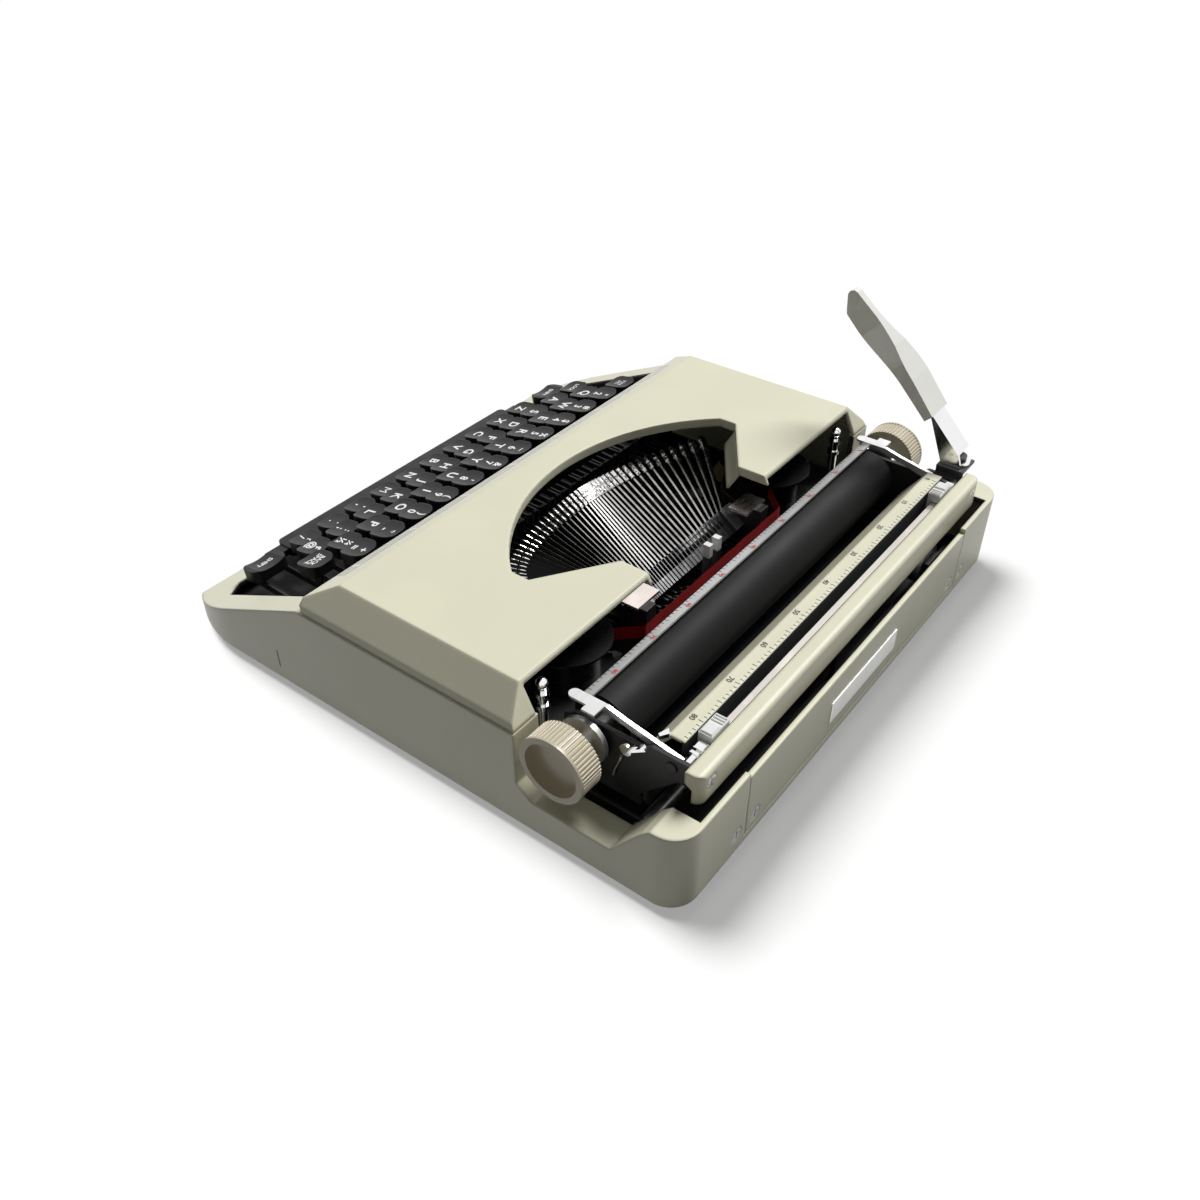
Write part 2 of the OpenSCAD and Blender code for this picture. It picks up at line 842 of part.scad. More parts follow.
module trim_seat(g) {
    trim_w = 6;
    trim_t = 1.2;
    trim_in = 1.2;
    slope = atan2(zb + cover_h - cover_nose_z, cover_top_front_y - cover_front_y);
    half = xh - 22;
    translate([-half - g, cover_front_y, cover_nose_z]) rotate([slope, 0, 0])
        translate([0, trim_in - g, -trim_t - g]) cube([2*half + 2*g, trim_w + 2*g, trim_t + 2 + g]);
}

module cover_window_trim() {
    color("WhiteSmoke") intersection() {
        trim_seat(0);
        cover_form(0);
    }
}

module cover_hinge_pins() {
    color("Silver") both() rod_x(hinge_r, hinge_x - hinge_pin_in, hinge_x + hinge_pin_out, hinge_y, hinge_z);
}

// Carriage

module end_plate_side() {
    front = yb - 70;
    low = zb + 28;
    platen_top = zb + 47;
    polygon([[front, low], [front, low + 16], [front + 6, platen_top], [yb - 34, platen_top],
        [yb - 30, plate_top], [plate_back, plate_top], [plate_back, zb + 39], [yb - 18, zb + 39],
        [yb - 34, zb + 23], [yb - 34, trough_z], [tray_front, trough_z]]);
}

module carriage_frame() {
    inner = plate_x - plate_t;
    tab_w = 7;
    tab_t = 1.5;
    tab_y = yb - 8.2;
    tab_top = zb + 48.8;
    rack_rest = zb + 45.8;
    bearing_low = zb + 5;
    bearing_back = yb - 24;
    // Bracket for the return lever
    bracket_y = yb - 27;
    bracket_z = zb + 51.5;
    bracket_t = 1.5;
    bracket_out = 6;
    cap_r = 4;
    cap_t = 1.2;
    cap_z = swing_z + 2.2;
    color("DimGray") difference() {
        union() {
            both() along_x(inner, plate_x) end_plate_side();
            // Tray under the platen, its back wall under the sloping paper table, and the shelf behind
            box(-inner, inner, tray_front, tray_back, trough_z, trough_z + trough_t);
            box(-inner, inner, tray_back - trough_t, tray_back, trough_z, shelf_z);
            box(-inner, inner, tray_back - trough_t, plate_back, shelf_z - trough_t, shelf_z);
            both() box(plate_x - tab_w, plate_x, plate_back, tab_y, shelf_z - trough_t, tab_top);
            both() box(plate_x - tab_w, plate_x - tab_w + tab_t, yb - 20, plate_back, shelf_z, rack_rest);
            box(-bearing_w/2, bearing_w/2, tray_front, bearing_back, bearing_low, trough_z);
            // Escapement rack
            box(-rack_half, rack_half, yb - 20, yb - 17.5, zb + 37.4, zb + 40);
            box(swing_x - bracket_out, -plate_x + 0.2, bracket_y, plate_back, bracket_z,
                bracket_z + bracket_t);
            box(-plate_x - cap_t, -plate_x, bracket_y, plate_back, zb + 46, bracket_z + bracket_t/2);
            rod_z(swing_r, swing_x, swing_y, bracket_z + bracket_t/2, cap_z + cap_t);
            rod_z(cap_r, swing_x, swing_y, cap_z, cap_z + cap_t);
        }
        rod_x(shaft_r + fit, -knob_x, knob_x, px, pz);
        rod_x(rail_r + fit, -knob_x, knob_x, rail_y1, rail_z);
        rod_x(rail_r + fit, -knob_x, knob_x, rail_y2, rail_z);
        rod_x(small_pin_r + fit, -knob_x, knob_x, bail_y, bail_z);
        rod_x(small_pin_r + fit, -knob_x, knob_x, px, roller_z);
        rod_x(small_pin_r + fit, inner - 1, knob_x, release_y, release_z);
        back_screw_places() screw_hole();
    }
}

module back_screw_places() {
    for (s = [-1, 1]) translate([s*(plate_x - 3), yb - 6, zb + 45]) children();
}

module carriage_screws() {
    color("Silver") back_screw_places() screw();
}

module carriage_back() {
    bar_x = plate_x + 4;
    top = zb + 51.3;
    low = zb + rear_h + 0.6;
    front = yb - 13;
    back = yb - 6;
    r = 2;
    t = 2;
    // End cheek, cut back below
    end_t = 1.5;
    cheek_low = zb + 45.8;
    cheek_back = front + 3.2;
    // The back corners are rounded in plan
    corner_r = 4;
    plan_d = 40;
    color("BurlyWood") difference() {
        intersection() {
            union() {
                along_x(-bar_x, bar_x) {
                    translate([front, top - t]) square([back - front - r, t]);
                    translate([back - t, low]) square([t, top - r - low]);
                    difference() {
                        translate([back - r, top - r]) circle(r);
                        translate([back - 2*r - 1, top - 2*r - 1]) square([r + 1, 2*r + 2]);
                    }
                    translate([back - r - eps, top - r - eps]) square([r/2, r/2]);
                }
                both() along_x(bar_x - end_t, bar_x) polygon([[front, top - t/2], [front, cheek_low],
                    [cheek_back, cheek_low - 2], [cheek_back, low], [back - t/2, low],
                    [back - t/2, top - t/2]]);
            }
            translate([0, back - plan_d/2, low]) linear_extrude(top - low) pill(2*bar_x, plan_d, corner_r);
        }
        back_screw_places() screw_hole();
    }
}

module paper_table() {
    x0 = -plate_x + 6;
    x1 = plate_x - 8;
    front = yb - 28;
    back = yb - 21;
    top = zb + 51;
    t = 1;
    // Slope down toward the platen
    foot_y = yb - 38;
    foot_z = zb + 34.6;
    color("Cornsilk") {
        box(x0, x1, front, back, top - t, top);
        box(x0, x1, back - 1.2*t, back, shelf_z, top - t + eps);
        along_x(x0, x1) polygon([[front, top], [front + 1.5*t, top - t], [foot_y, foot_z],
            [foot_y - 1.2*t, foot_z + 0.8*t]]);
    }
}

module margin_rack() {
    half = plate_x - plate_t;
    clear_end = 16;
    notch_pitch = 2.5;
    notch_w = 0.7;
    notch_deep = 0.5;
    color("Silver") difference() {
        box(-half, half, rack_y0, rack_y1, rack_z0, rack_z1);
        for (x = [clear_end - half:notch_pitch:half - clear_end])
            box(x - notch_w/2, x + notch_w/2, rack_y0 - 1, rack_y1 + 1, rack_z0 - 1, rack_z0 + notch_deep);
    }
}

module margin_stop() {
    half = 6;
    front_t = 2.4;
    back_t = 0.9;
    skirt = 1;
    top = zb + 53;
    color("WhiteSmoke") difference() {
        box(-half, half, rack_y0 - front_t, rack_y1 + back_t, rack_z0 - skirt, top);
        box(-half - 1, half + 1, rack_y0 - gap, rack_y1 + gap, rack_z0 - skirt - 1, rack_z1 + gap);
    }
}

module margin_stop_right() {
    translate([stop_x, 0, 0]) margin_stop();
}

module margin_stop_left() {
    translate([-stop_x, 0, 0]) margin_stop();
}

module line_space_link() {
    pin_r = 2;
    pin_out = 4;
    pin_y = yb - 44.5;
    link_z = zb + 45;
    link_h = 3;
    link_back = yb - 28;
    color("Silver") {
        rod_x(pin_r, -plate_x - pin_out, -plate_x, pin_y, link_z);
        box(-plate_x - pin_out + 0.4, -plate_x - pin_out/2, pin_y - pin_r, link_back,
            link_z - link_h/2, link_z + link_h/2);
    }
}

module platen() {
    color("Black") difference() {
        rod_x(platen_r, -platen_w/2, platen_w/2, px, pz);
        rod_x(platen_r - rubber_t, -platen_w/2 - 1, platen_w/2 + 1, px, pz);
    }
}

module platen_shaft() {
    end_in = 7;
    color("Silver") {
        rod_x(shaft_r, end_in - knob_x, knob_x - end_in, px, pz);
        rod_x(platen_r - rubber_t, -platen_w/2, platen_w/2, px, pz);
    }
}

module platen_knob() {
    flutes = 56;
    flute_r = 0.55;
    flute_out = 0.1;
    rim = 2.8;
    dish = 4.5;
    color("Tan") translate([0, px, pz]) rotate([0, 90, 0]) difference() {
        translate([0, 0, knob_x - knob_len]) cylinder(r = knob_r, h = knob_len);
        translate([0, 0, knob_x - dish]) cylinder(r = knob_r - rim, h = dish + 1);
        translate([0, 0, knob_x - knob_len - 1]) cylinder(r = shaft_r, h = knob_len - dish + 0.5);
        for (i = [0:flutes - 1]) rotate([0, 0, i*360/flutes])
            translate([knob_r + flute_out, 0, knob_x - knob_len - 1])
                cylinder(r = flute_r, h = knob_len, $fn = 16);
    }
}

module platen_knob_right() {
    platen_knob();
}

module platen_knob_left() {
    mirror([1, 0, 0]) platen_knob();
}

module line_ratchet() {
    disc_r = 10.5;
    disc_t = 2.2;
    disc_x = plate_x + 2.2;
    teeth = 30;
    tooth_gap_r = 0.7;
    color("Silver") difference() {
        union() {
            rod_x(disc_r, disc_x, disc_x + disc_t, px, pz);
            rod_x(disc_r, -disc_x - disc_t, -disc_x, px, pz);
        }
        rod_x(shaft_r, -knob_x, knob_x, px, pz);
        translate([-disc_x - disc_t - 1, px, pz]) rotate([0, 90, 0]) for (i = [0:teeth - 1])
            rotate([0, 0, i*360/teeth]) translate([disc_r, 0, 0])
                cylinder(r = tooth_gap_r, h = disc_t + 2, $fn = 16);
    }
}

module feed_roller() {
    roll_half = 15;
    middle_x = 28;
    outer_x = platen_w/2 - 30;
    pin_end = 0.5;
    color("Black") {
        for (x = [-outer_x, -middle_x, middle_x, outer_x])
            rod_x(roller_r, x - roll_half, x + roll_half, px, roller_z);
        rod_x(small_pin_r, -plate_x - pin_end, plate_x + pin_end, px, roller_z);
    }
}

module paper_bail() {
    arm_t = 1.8;
    arm_low = zb + 52;
    arm_top = zb + 54.6;
    eye = 2.6;
    tip_y = yb - 66;
    bend_y = yb - 44;
    crown_y = yb - 52;
    strip_y = px - 4.6;
    strip_z = pz + platen_r + 0.1;
    strip_w = 4.8;
    strip_t = 0.8;
    strip_tilt = 19;
    // Finger tab at the front of each arm, with a wider root
    tab_w = 5;
    tab_t = 1;
    root_w = 8;
    root_y0 = yb - 59;
    root_y1 = yb - 53;
    tab_z = arm_top - tab_t;
    color("WhiteSmoke") {
        both() along_x(bail_x - arm_t/2, bail_x + arm_t/2) polygon([[bail_y + eye, bail_z - eye],
            [bail_y + eye, bail_z + eye], [bend_y, arm_low + 0.6], [crown_y, arm_top], [tip_y, arm_top],
            [tip_y, arm_low], [crown_y - 2, arm_low], [bend_y, arm_low - 2]]);
        both() {
            rod_x(small_pin_r, bail_x - arm_t/2, plate_x - 0.2, bail_y, bail_z);
            box(bail_x - arm_t/2, bail_x - arm_t/2 + tab_w, tip_y, root_y0 + eps, tab_z, arm_top);
            rod_z(tab_w/2, bail_x - arm_t/2 + tab_w/2, tip_y, tab_z, arm_top);
            box(bail_x - arm_t/2, bail_x - arm_t/2 + root_w, root_y0, root_y1, tab_z, arm_top);
        }
        translate([-bail_x, strip_y, strip_z]) rotate([strip_tilt, 0, 0]) translate([0, -strip_w/2, 0])
            cube([2*bail_x, strip_w, strip_t]);
    }
}

module lever_frame() {
    translate([swing_x, swing_y, swing_z]) children();
}

// Outline in the lever's length and depth, drawn out across its width
module lever_side(half) {
    translate([-half, 0, 0]) rotate([90, 0, 90]) linear_extrude(2*half) rotate(180 - lever_rise) children();
}

module return_lever_arm() {
    foot = 6;
    foot_t = 1.8;
    strip_from = 3;
    // Side flange that carries the strip over the cap on the pivot
    flange_x = 5;
    flange_t = 1.5;
    flange_front = 6;
    flange_back = 4;
    flange_to = 25;
    color("Silver") lever_frame() {
        difference() {
            union() {
                cylinder(r = foot, h = foot_t);
                box(0, flange_x + flange_t, -flange_front, flange_back, 0, foot_t);
            }
            translate([0, 0, -1]) cylinder(r = swing_r + fit, h = foot_t + 2);
        }
        lever_side(lever_w/2) translate([strip_from, -lever_up]) square([lever_in - strip_from, lever_t2]);
        translate([flange_x + flange_t/2, 0, 0]) lever_side(flange_t/2)
            polygon([[strip_from, -lever_up], [flange_to, -lever_up], [flange_to, lever_t2 - lever_up],
                [flange_front*cos(lever_rise), flange_front*sin(lever_rise)],
                [-flange_back*cos(lever_rise), -flange_back*sin(lever_rise)]]);
    }
}

// Blade of the lever: flat and wide at its root, narrow and deep at its rounded tip
module return_lever_grip() {
    root = 26;
    half_w = 8.6;
    tip_half = 2.2;
    // The top edge bows a little; the lower edge and the width change over between two places
    over = lever_up + 0.8;
    bow = 1.6;
    under = -1.8;
    tip_over = 4.8;
    tip_under = 6.4;
    turn_from = 46;
    turn_to = 82;
    steps = 12;
    slant = 6;
    r = 3;
    // Straight end between the two rounded corners of the tip, and the way it faces
    tip_rise = tip_under + tip_over - 2*r;
    tip_n = [tip_rise, slant]/norm([tip_rise, slant]);
    turn = [for (i = [0:steps]) [turn_from + (turn_to - turn_from)*i/steps, (1 - cos(180*i/steps))/2]];
    color("Ivory") lever_frame() difference() {
        intersection() {
            lever_side(half_w) {
                polygon(concat([[root, -over], [turn_from, -over - bow],
                    [(turn_from + turn_to)/2, -over - bow], [lever_len - r, -tip_over],
                    [lever_len - r, r - tip_over] + r*tip_n, [lever_len - slant - r, tip_under - r] + r*tip_n,
                    [lever_len - slant - r, tip_under]],
                    [for (i = [steps:-1:0]) [turn[i][0], under + (tip_under - under)*turn[i][1]]],
                    [[root, under]]));
                translate([lever_len - r, r - tip_over]) circle(r);
                translate([lever_len - slant - r, tip_under - r]) circle(r);
            }
            rotate([-lever_rise, 0, 0]) translate([0, 0, -lever_len]) linear_extrude(2*lever_len)
                polygon(concat([[-half_w, -root]],
                    [for (i = [0:steps]) [(half_w - tip_half)*turn[i][1] - half_w, -turn[i][0]]],
                    [[-tip_half, -lever_len - 1], [tip_half, -lever_len - 1]],
                    [for (i = [steps:-1:0]) [half_w - (half_w - tip_half)*turn[i][1], -turn[i][0]]],
                    [[half_w, -root]]));
        }
        lever_side(lever_w/2 + fit) translate([root - 1, -lever_up - fit])
            square([lever_in - root + 1 + fit, lever_t2 + 2*fit]);
    }
}

module paper_release_lever() {
    rise = 35;
    eye_r = 2.6;
    arm = 10;
    arm_h = 2.4;
    arm_x = plate_x + 0.6;
    arm_t = 1.4;
    tab_w = 3.2;
    tab_t = 1.2;
    color("Silver") {
        rod_x(small_pin_r, plate_x - plate_t, arm_x + arm_t, release_y, release_z);
        along_x(arm_x, arm_x + arm_t) translate([release_y, release_z]) {
            circle(eye_r);
            rotate(rise) translate([0, -arm_h/2]) square([arm, arm_h]);
        }
        translate([arm_x, release_y, release_z]) rotate([rise, 0, 0]) translate([0, arm - arm_h, 0])
            cube([tab_w, arm_h, tab_t]);
    }
}

// Keyboard

module key_cap(w, d, stem_x) {
    r = 4.6;
    dish_r = 26;
    dish = 1;
    tilt = 10;
    difference() {
        rotate([tilt, 0, 0]) difference() {
            translate([0, 0, -cap_h]) linear_extrude(cap_h) pill(w, d, r);
            translate([0, 0, dish_r - dish]) rotate([90, 0, 0])
                cylinder(r = dish_r, h = d*2, center = true, $fn = 96);
        }
        translate([stem_x, 0, 0]) key_stem(fit);
    }
}

// Top of the lever's stem, let into the key
module key_stem(g) {
    translate([-lever_t/2 - g, -stem_d/2 - g, -cap_h - 3])
        cube([lever_t + 2*g, stem_d + 2*g, stem_in + 3 + g]);
}

// Lever from the pivot rod to under a key, with a stem up into the key
module key_lever(x, y, stem_top) {
    hub = pivot_r + hub_t;
    translate([x - lever_t/2, 0, 0]) difference() {
        union() {
            translate([0, fulcrum_y, fulcrum_z]) rotate([0, 90, 0]) cylinder(r = hub, h = lever_t);
            along_x(0, lever_t) polygon([[fulcrum_y, fulcrum_z - lever_h/2],
                [fulcrum_y, fulcrum_z + lever_h/2], [y + stem_d/2, lever_z(y) + lever_h/2],
                [y + stem_d/2, stem_top], [y - stem_d/2, stem_top], [y - stem_d/2, lever_z(y) - lever_h/2]]);
        }
        rod_x(pivot_r + fit, -1, lever_t + 1, fulcrum_y, fulcrum_z);
    }
}

// Key and lever as one piece, for the keys that stand alone
module single_key(x, row) {
    color("Black") {
        translate([x, row_pos(row), row_top(row)]) key_cap(cap_w, cap_d, 0);
        key_lever(x, row_pos(row), row_top(row) - cap_h + stem_in + fit);
    }
}

module row_caps(row) {
    color("Black") for (k = [0:row_count(row) - 1]) if (!(row == h_row && k == h_key))
        translate([key_x(row, k), row_pos(row), row_top(row)]) key_cap(cap_w, cap_d, 0);
}

module row_levers(row) {
    color("Silver") for (k = [0:row_count(row) - 1]) if (!(row == h_row && k == h_key))
        key_lever(key_x(row, k), row_pos(row), row_top(row) - cap_h + stem_in);
}

module number_keys() row_caps(3);
module number_levers() row_levers(3);
module upper_keys() row_caps(2);
module upper_levers() row_levers(2);
module home_keys() row_caps(1);
module home_levers() row_levers(1);
module lower_keys() row_caps(0);
module lower_levers() row_levers(0);

module letter_h_key() {
    color("Black") translate([key_x(h_row, h_key), row_pos(h_row), row_top(h_row)])
        key_cap(cap_w, cap_d, 0);
}

module letter_h_lever() {
    color("Silver") key_lever(key_x(h_row, h_key), row_pos(h_row), row_top(h_row) - cap_h + stem_in);
}

module space_bar() {
    height = 5;
    half_d = 3;
    arm_z = space_top - height/2;
    color("Black") {
        translate([0, space_y, space_top - height]) linear_extrude(height) pill(space_w, space_d, half_d);
        for (x = [space_arm_left, space_arm_right]) {
            difference() {
                union() {
                    rod_x(pivot_r + hub_t, x - lever_t/2, x + lever_t/2, fulcrum_y, fulcrum_z);
                    along_x(x - lever_t/2, x + lever_t/2) polygon([[fulcrum_y, fulcrum_z - lever_h/2],
                        [fulcrum_y, fulcrum_z + lever_h/2], [space_y + half_d, arm_z + lever_h/2],
                        [space_y - half_d, arm_z + lever_h/2], [space_y - half_d, arm_z - lever_h/2]]);
                }
                rod_x(pivot_r + fit, x - 1, x + 1, fulcrum_y, fulcrum_z);
            }
            box(min(x, 0) - lever_t/2, max(x, 0) + lever_t/2, space_y - half_d, space_y + half_d,
                arm_z - lever_h/2, arm_z + lever_h/2);
        }
    }
}

module shift_keys() {
    shift_w = 20;
    shift_d = 12.5;
    color("Black") for (s = [-1, 1]) translate([s*shift_x, row_pos(0), row_top(0)])
        key_cap(shift_w, shift_d, s*(shift_arm_x - shift_x));
}

module shift_frame() {
    tie_y = fulcrum_y + 6.2;
    tie_t = 1.4;
    tie_h = 3;
    color("Silver") {
        for (x = [-shift_arm_x, shift_arm_x]) {
            key_lever(x, row_pos(0), row_top(0) - cap_h + stem_in);
            box(x - lever_t/2, x + lever_t/2, fulcrum_y + pivot_r + hub_t/3, tie_y + tie_t,
                fulcrum_z - tie_h/2, fulcrum_z + tie_h/2);
        }
        box(-shift_arm_x, shift_arm_x, tie_y, tie_y + tie_t, fulcrum_z - tie_h/2, fulcrum_z + tie_h/2);
    }
}

module shift_lock_key() {
    single_key(lock_x, 1);
}

module back_space_key() {
    single_key(back_space_x, 2);
}

module margin_release_key() {
    single_key(release_x, 3);
}

lower_case();
rear_panel();
case_screws();
rubber_feet();
chassis_frame();
carriage_rails();
key_fulcrum_rod();
key_comb();
type_segment();
segment_wire();
segment_plates();
type_guide();
type_bars();
type_rest();
ribbon_cups();
ribbon_posts();
ribbon();
margin_bell();
mainspring_drum();
escape_wheel();
ribbon_cover();
cover_window_trim();
cover_hinge_pins();
carriage_frame();
carriage_back();
paper_table();
margin_rack();
carriage_screws();
line_space_link();
platen();
platen_shaft();
platen_knob_left();
platen_knob_right();
line_ratchet();
feed_roller();
paper_bail();
return_lever_arm();
return_lever_grip();
margin_stop_left();
margin_stop_right();
paper_release_lever();
number_keys();
number_levers();
upper_keys();
upper_levers();
home_keys();
home_levers();
lower_keys();
lower_levers();
letter_h_key();
letter_h_lever();
letter_h_type_bar();
space_bar();
shift_keys();
shift_frame();
shift_lock_key();
back_space_key();
margin_release_key();
spool_left();
spool_right();
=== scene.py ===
import json
import math

import bpy
from mathutils import Matrix, Vector


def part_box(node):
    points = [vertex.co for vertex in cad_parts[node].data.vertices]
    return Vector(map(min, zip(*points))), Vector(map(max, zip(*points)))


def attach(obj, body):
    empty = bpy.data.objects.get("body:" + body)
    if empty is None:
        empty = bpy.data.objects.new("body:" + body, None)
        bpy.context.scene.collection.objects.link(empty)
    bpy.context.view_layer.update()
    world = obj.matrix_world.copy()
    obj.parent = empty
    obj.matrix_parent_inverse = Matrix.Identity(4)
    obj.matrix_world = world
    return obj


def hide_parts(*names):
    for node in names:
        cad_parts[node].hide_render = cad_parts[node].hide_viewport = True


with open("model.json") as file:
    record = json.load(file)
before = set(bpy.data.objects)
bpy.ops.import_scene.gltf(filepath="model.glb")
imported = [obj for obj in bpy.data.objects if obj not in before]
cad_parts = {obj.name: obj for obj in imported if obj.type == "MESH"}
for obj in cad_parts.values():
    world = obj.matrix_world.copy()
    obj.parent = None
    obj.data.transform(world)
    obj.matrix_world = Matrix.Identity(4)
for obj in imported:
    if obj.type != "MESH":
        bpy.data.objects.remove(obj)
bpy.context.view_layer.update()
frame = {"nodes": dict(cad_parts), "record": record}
MM = 0.001

# Sizes of the machine in millimetres, as in the part's source
SIDE_X, BACK_Y, FRONT_Y, BASE_Z = 141.5, 143.5, -143.5, 6.0
KEY_PITCH, ROW_PITCH, ROW_RISE = 18.1, 18.0, 8.0
ROW_Y, ROW_TOP = FRONT_Y + 25, BASE_Z + 22
ROW_SHIFT = (8.6, -0.5, -5.0, 2.0)
CAP_TILT, DISH_R, DISH_DEPTH = math.radians(10), 26.0, 1.0
BARS, MIDDLE_BAR, BAR_LEN, BAR_STEP = 43, 21, 50.5, 3.38
BASKET_R, BASKET_TILT, FAN_LEAN, FAN_CURVE = 40.0, 54.0, 46.0, 1.4
BAR_PIVOT = Vector((0, BACK_Y - 112, BASE_Z + 16))
PLATEN_Y, PLATEN_Z, PLATEN_R = BACK_Y - 57.8, BASE_Z + 39.3, 13.3
TABLE_Z, STOP_TOP = BASE_Z + 51, BASE_Z + 53
SCALE_ZERO, SCALE_STEP = -106.0, 2.54
PAPER_MARKS, BAIL_MARKS, TENS = range(85), range(-1, 86), range(0, 81, 10)
PRINT_THICK = 0.05

# Colours, in linear light
CREAM = (0.757, 0.742, 0.560)
DIRT, GRIME, PRIMER = (0.16, 0.14, 0.11), (0.42, 0.38, 0.28), (0.40, 0.37, 0.29)
# The first black on the next line is painted shade: inside the case, under the cover, behind the paper table,
# on the type bars' flanks
SHADE_BLACK, OILED, INK = (0.010, 0.010, 0.010), (0.012, 0.012, 0.012), (0.02, 0.02, 0.02)
BLACK_PAINT, DUST = (0.018, 0.018, 0.019), (0.11, 0.105, 0.095)
RUBBER, WORN_RUBBER, RUBBER_RING = (0.006, 0.006, 0.007), (0.012, 0.012, 0.013), (0.025, 0.025, 0.026)
RIBBON_BLACK, RIBBON_RED, RIBBON_FADED = (0.010, 0.008, 0.009), (0.58, 0.006, 0.008), (0.20, 0.004, 0.006)
STRIP_DARK, STRIP_PALE, STRIP_NICK = (0.30, 0.295, 0.25), (0.46, 0.45, 0.38), (0.85, 0.85, 0.80)
# The slot colour on the next line is painted shade for the type segment
SLOT_SHADE, GROUND_IRON = (0.012, 0.012, 0.013), (0.46, 0.46, 0.47)
# The bar colour on the next line is a painted highlight for the edges of the type bars
BAR_HIGHLIGHT, SLUG_PLATE = (0.50, 0.49, 0.475), (0.88, 0.87, 0.85)
GUIDE_WHITE, GUIDE_SCUFF = (0.84, 0.84, 0.82), (0.5, 0.49, 0.46)

# Radii of worn edges, in metres
SOFT_EDGE, FINE_EDGE, RUBBED_EDGE = 0.0019, 0.0007, 0.0006


# Finishes

class Field:
    """A value that changes over a surface; sums and products add their own nodes."""

    def __init__(self, finish, socket):
        self.finish, self.socket = finish, socket

    def _math(self, operation, a, b):
        return self.finish.node("ShaderNodeMath", {"operation": operation}, {0: a, 1: b})

    def __add__(self, other):
        return self._math("ADD", self, other)

    def __radd__(self, other):
        return self._math("ADD", other, self)

    def __sub__(self, other):
        return self._math("SUBTRACT", self, other)

    def __rsub__(self, other):
        return self._math("SUBTRACT", other, self)

    def __mul__(self, other):
        return self._math("MULTIPLY", self, other)

    def __rmul__(self, other):
        return self._math("MULTIPLY", other, self)

    def __gt__(self, other):
        return self._math("GREATER_THAN", self, other)

    def __lt__(self, other):
        return self._math("LESS_THAN", self, other)

    def __abs__(self):
        return self._math("ABSOLUTE", self, 0.0)

    def __mod__(self, other):
        return self._math("FLOORED_MODULO", self, other)

    def at_least(self, low):
        return self._math("MAXIMUM", self, low)


class Finish:
    """One material, or the world; node() adds any node, surface() the shader at its end."""

    SOCKETS = {"colour": "Base Color", "rough": "Roughness", "metal": "Metallic", "normal": "Normal",
               "coat": "Coat Weight", "specular": "Specular IOR Level", "sheen": "Sheen Weight"}

    def __init__(self, name, world=None):
        self.owner = world or bpy.data.materials.new(name)
        self.owner.use_nodes = True
        self.tree = self.owner.node_tree
        self.tree.nodes.clear()
        if world is None:
            self.place = self.node("ShaderNodeTexCoord", out="Object")
            self.x, self.y, self.z = self.parts(self.place)

    def node(self, kind, settings=None, values=None, out=0):
        """Any node: its settings first, then numbers for its sockets or links to them."""
        made = self.tree.nodes.new(kind)
        for key, value in (settings or {}).items():
            setattr(made, key, value)
        for key, value in (values or {}).items():
            if isinstance(value, Field):
                self.tree.links.new(value.socket, made.inputs[key])
            else:
                made.inputs[key].default_value = value
        return Field(self, made.outputs[out]) if made.outputs else None

    def parts(self, vector):
        return [self.node("ShaderNodeSeparateXYZ", values={0: vector}, out=i) for i in range(3)]

    def facing(self):
        """Direction of the surface in the frame of its own piece."""
        return self.node("ShaderNodeTexCoord", out="Normal")

    def up(self):
        """How far the surface faces upward when its piece is at rest."""
        return self.parts(self.facing())[2]

    def vector(self, operation, a, b, out="Vector"):
        return self.node("ShaderNodeVectorMath", {"operation": operation}, {0: a, 1: b}, out)

    def stretched(self, sx, sy, sz):
        return self.node("ShaderNodeMapping", values={"Vector": self.place, "Scale": (sx, sy, sz)})

    def noise(self, scale, detail=2.0, where=None):
        return self.node("ShaderNodeTexNoise",
                         values={"Vector": where or self.place, "Scale": scale, "Detail": detail})

    def specks(self, scale, size):
        return self.node("ShaderNodeTexVoronoi", values={"Vector": self.place, "Scale": scale}) < size

    def rise(self, value, low, high):
        """Nought below the low value, one above the high value, smooth between them."""
        return self.node("ShaderNodeMapRange", {"interpolation_type": "SMOOTHSTEP"},
                         {"Value": value, "From Min": low, "From Max": high})

    def blend(self, share, under, over):
        """A share of one colour over another."""
        colours = [c if isinstance(c, Field) else (*c, 1) for c in (under, over)]
        return self.node("ShaderNodeMix", {"data_type": "RGBA"}, {0: share, 6: colours[0], 7: colours[1]}, 2)

    def rounded(self, radius):
        """Normal that runs softly round the edges."""
        return self.node("ShaderNodeBevel", {"samples": 4}, {"Radius": radius})

    def edges(self, rounded):
        """One along the edges, nought on the faces."""
        flat = self.node("ShaderNodeNewGeometry", out="Normal")
        return self.rise(1 - self.vector("DOT_PRODUCT", rounded, flat, "Value"), 0.02, 0.25)

    def bump(self, height, strength, depth=0.0002, normal=None):
        """Normal of a fine relief; depth is in metres."""
        values = {"Height": height, "Strength": strength, "Distance": depth}
        if normal:
            values["Normal"] = normal
        return self.node("ShaderNodeBump", values=values)

    def seen(self):
        """One for the camera, and for mirrors and clear pieces that show the same; nought for other light."""
        camera, mirror, through = (self.node("ShaderNodeLightPath", out=way) for way in (
            "Is Camera Ray", "Is Glossy Ray", "Is Transmission Ray"))
        return camera + mirror + through > 0.5

    def surface(self, **values):
        values = {self.SOCKETS[key]: value for key, value in values.items()}
        self.close(self.node("ShaderNodeBsdfPrincipled", values=values))
        return self.owner

    def close(self, shader, end="ShaderNodeOutputMaterial"):
        self.node(end, values={"Surface": shader})


def shade(tint, share):
    """The same colour, darker."""
    return tuple(c * share for c in tint)


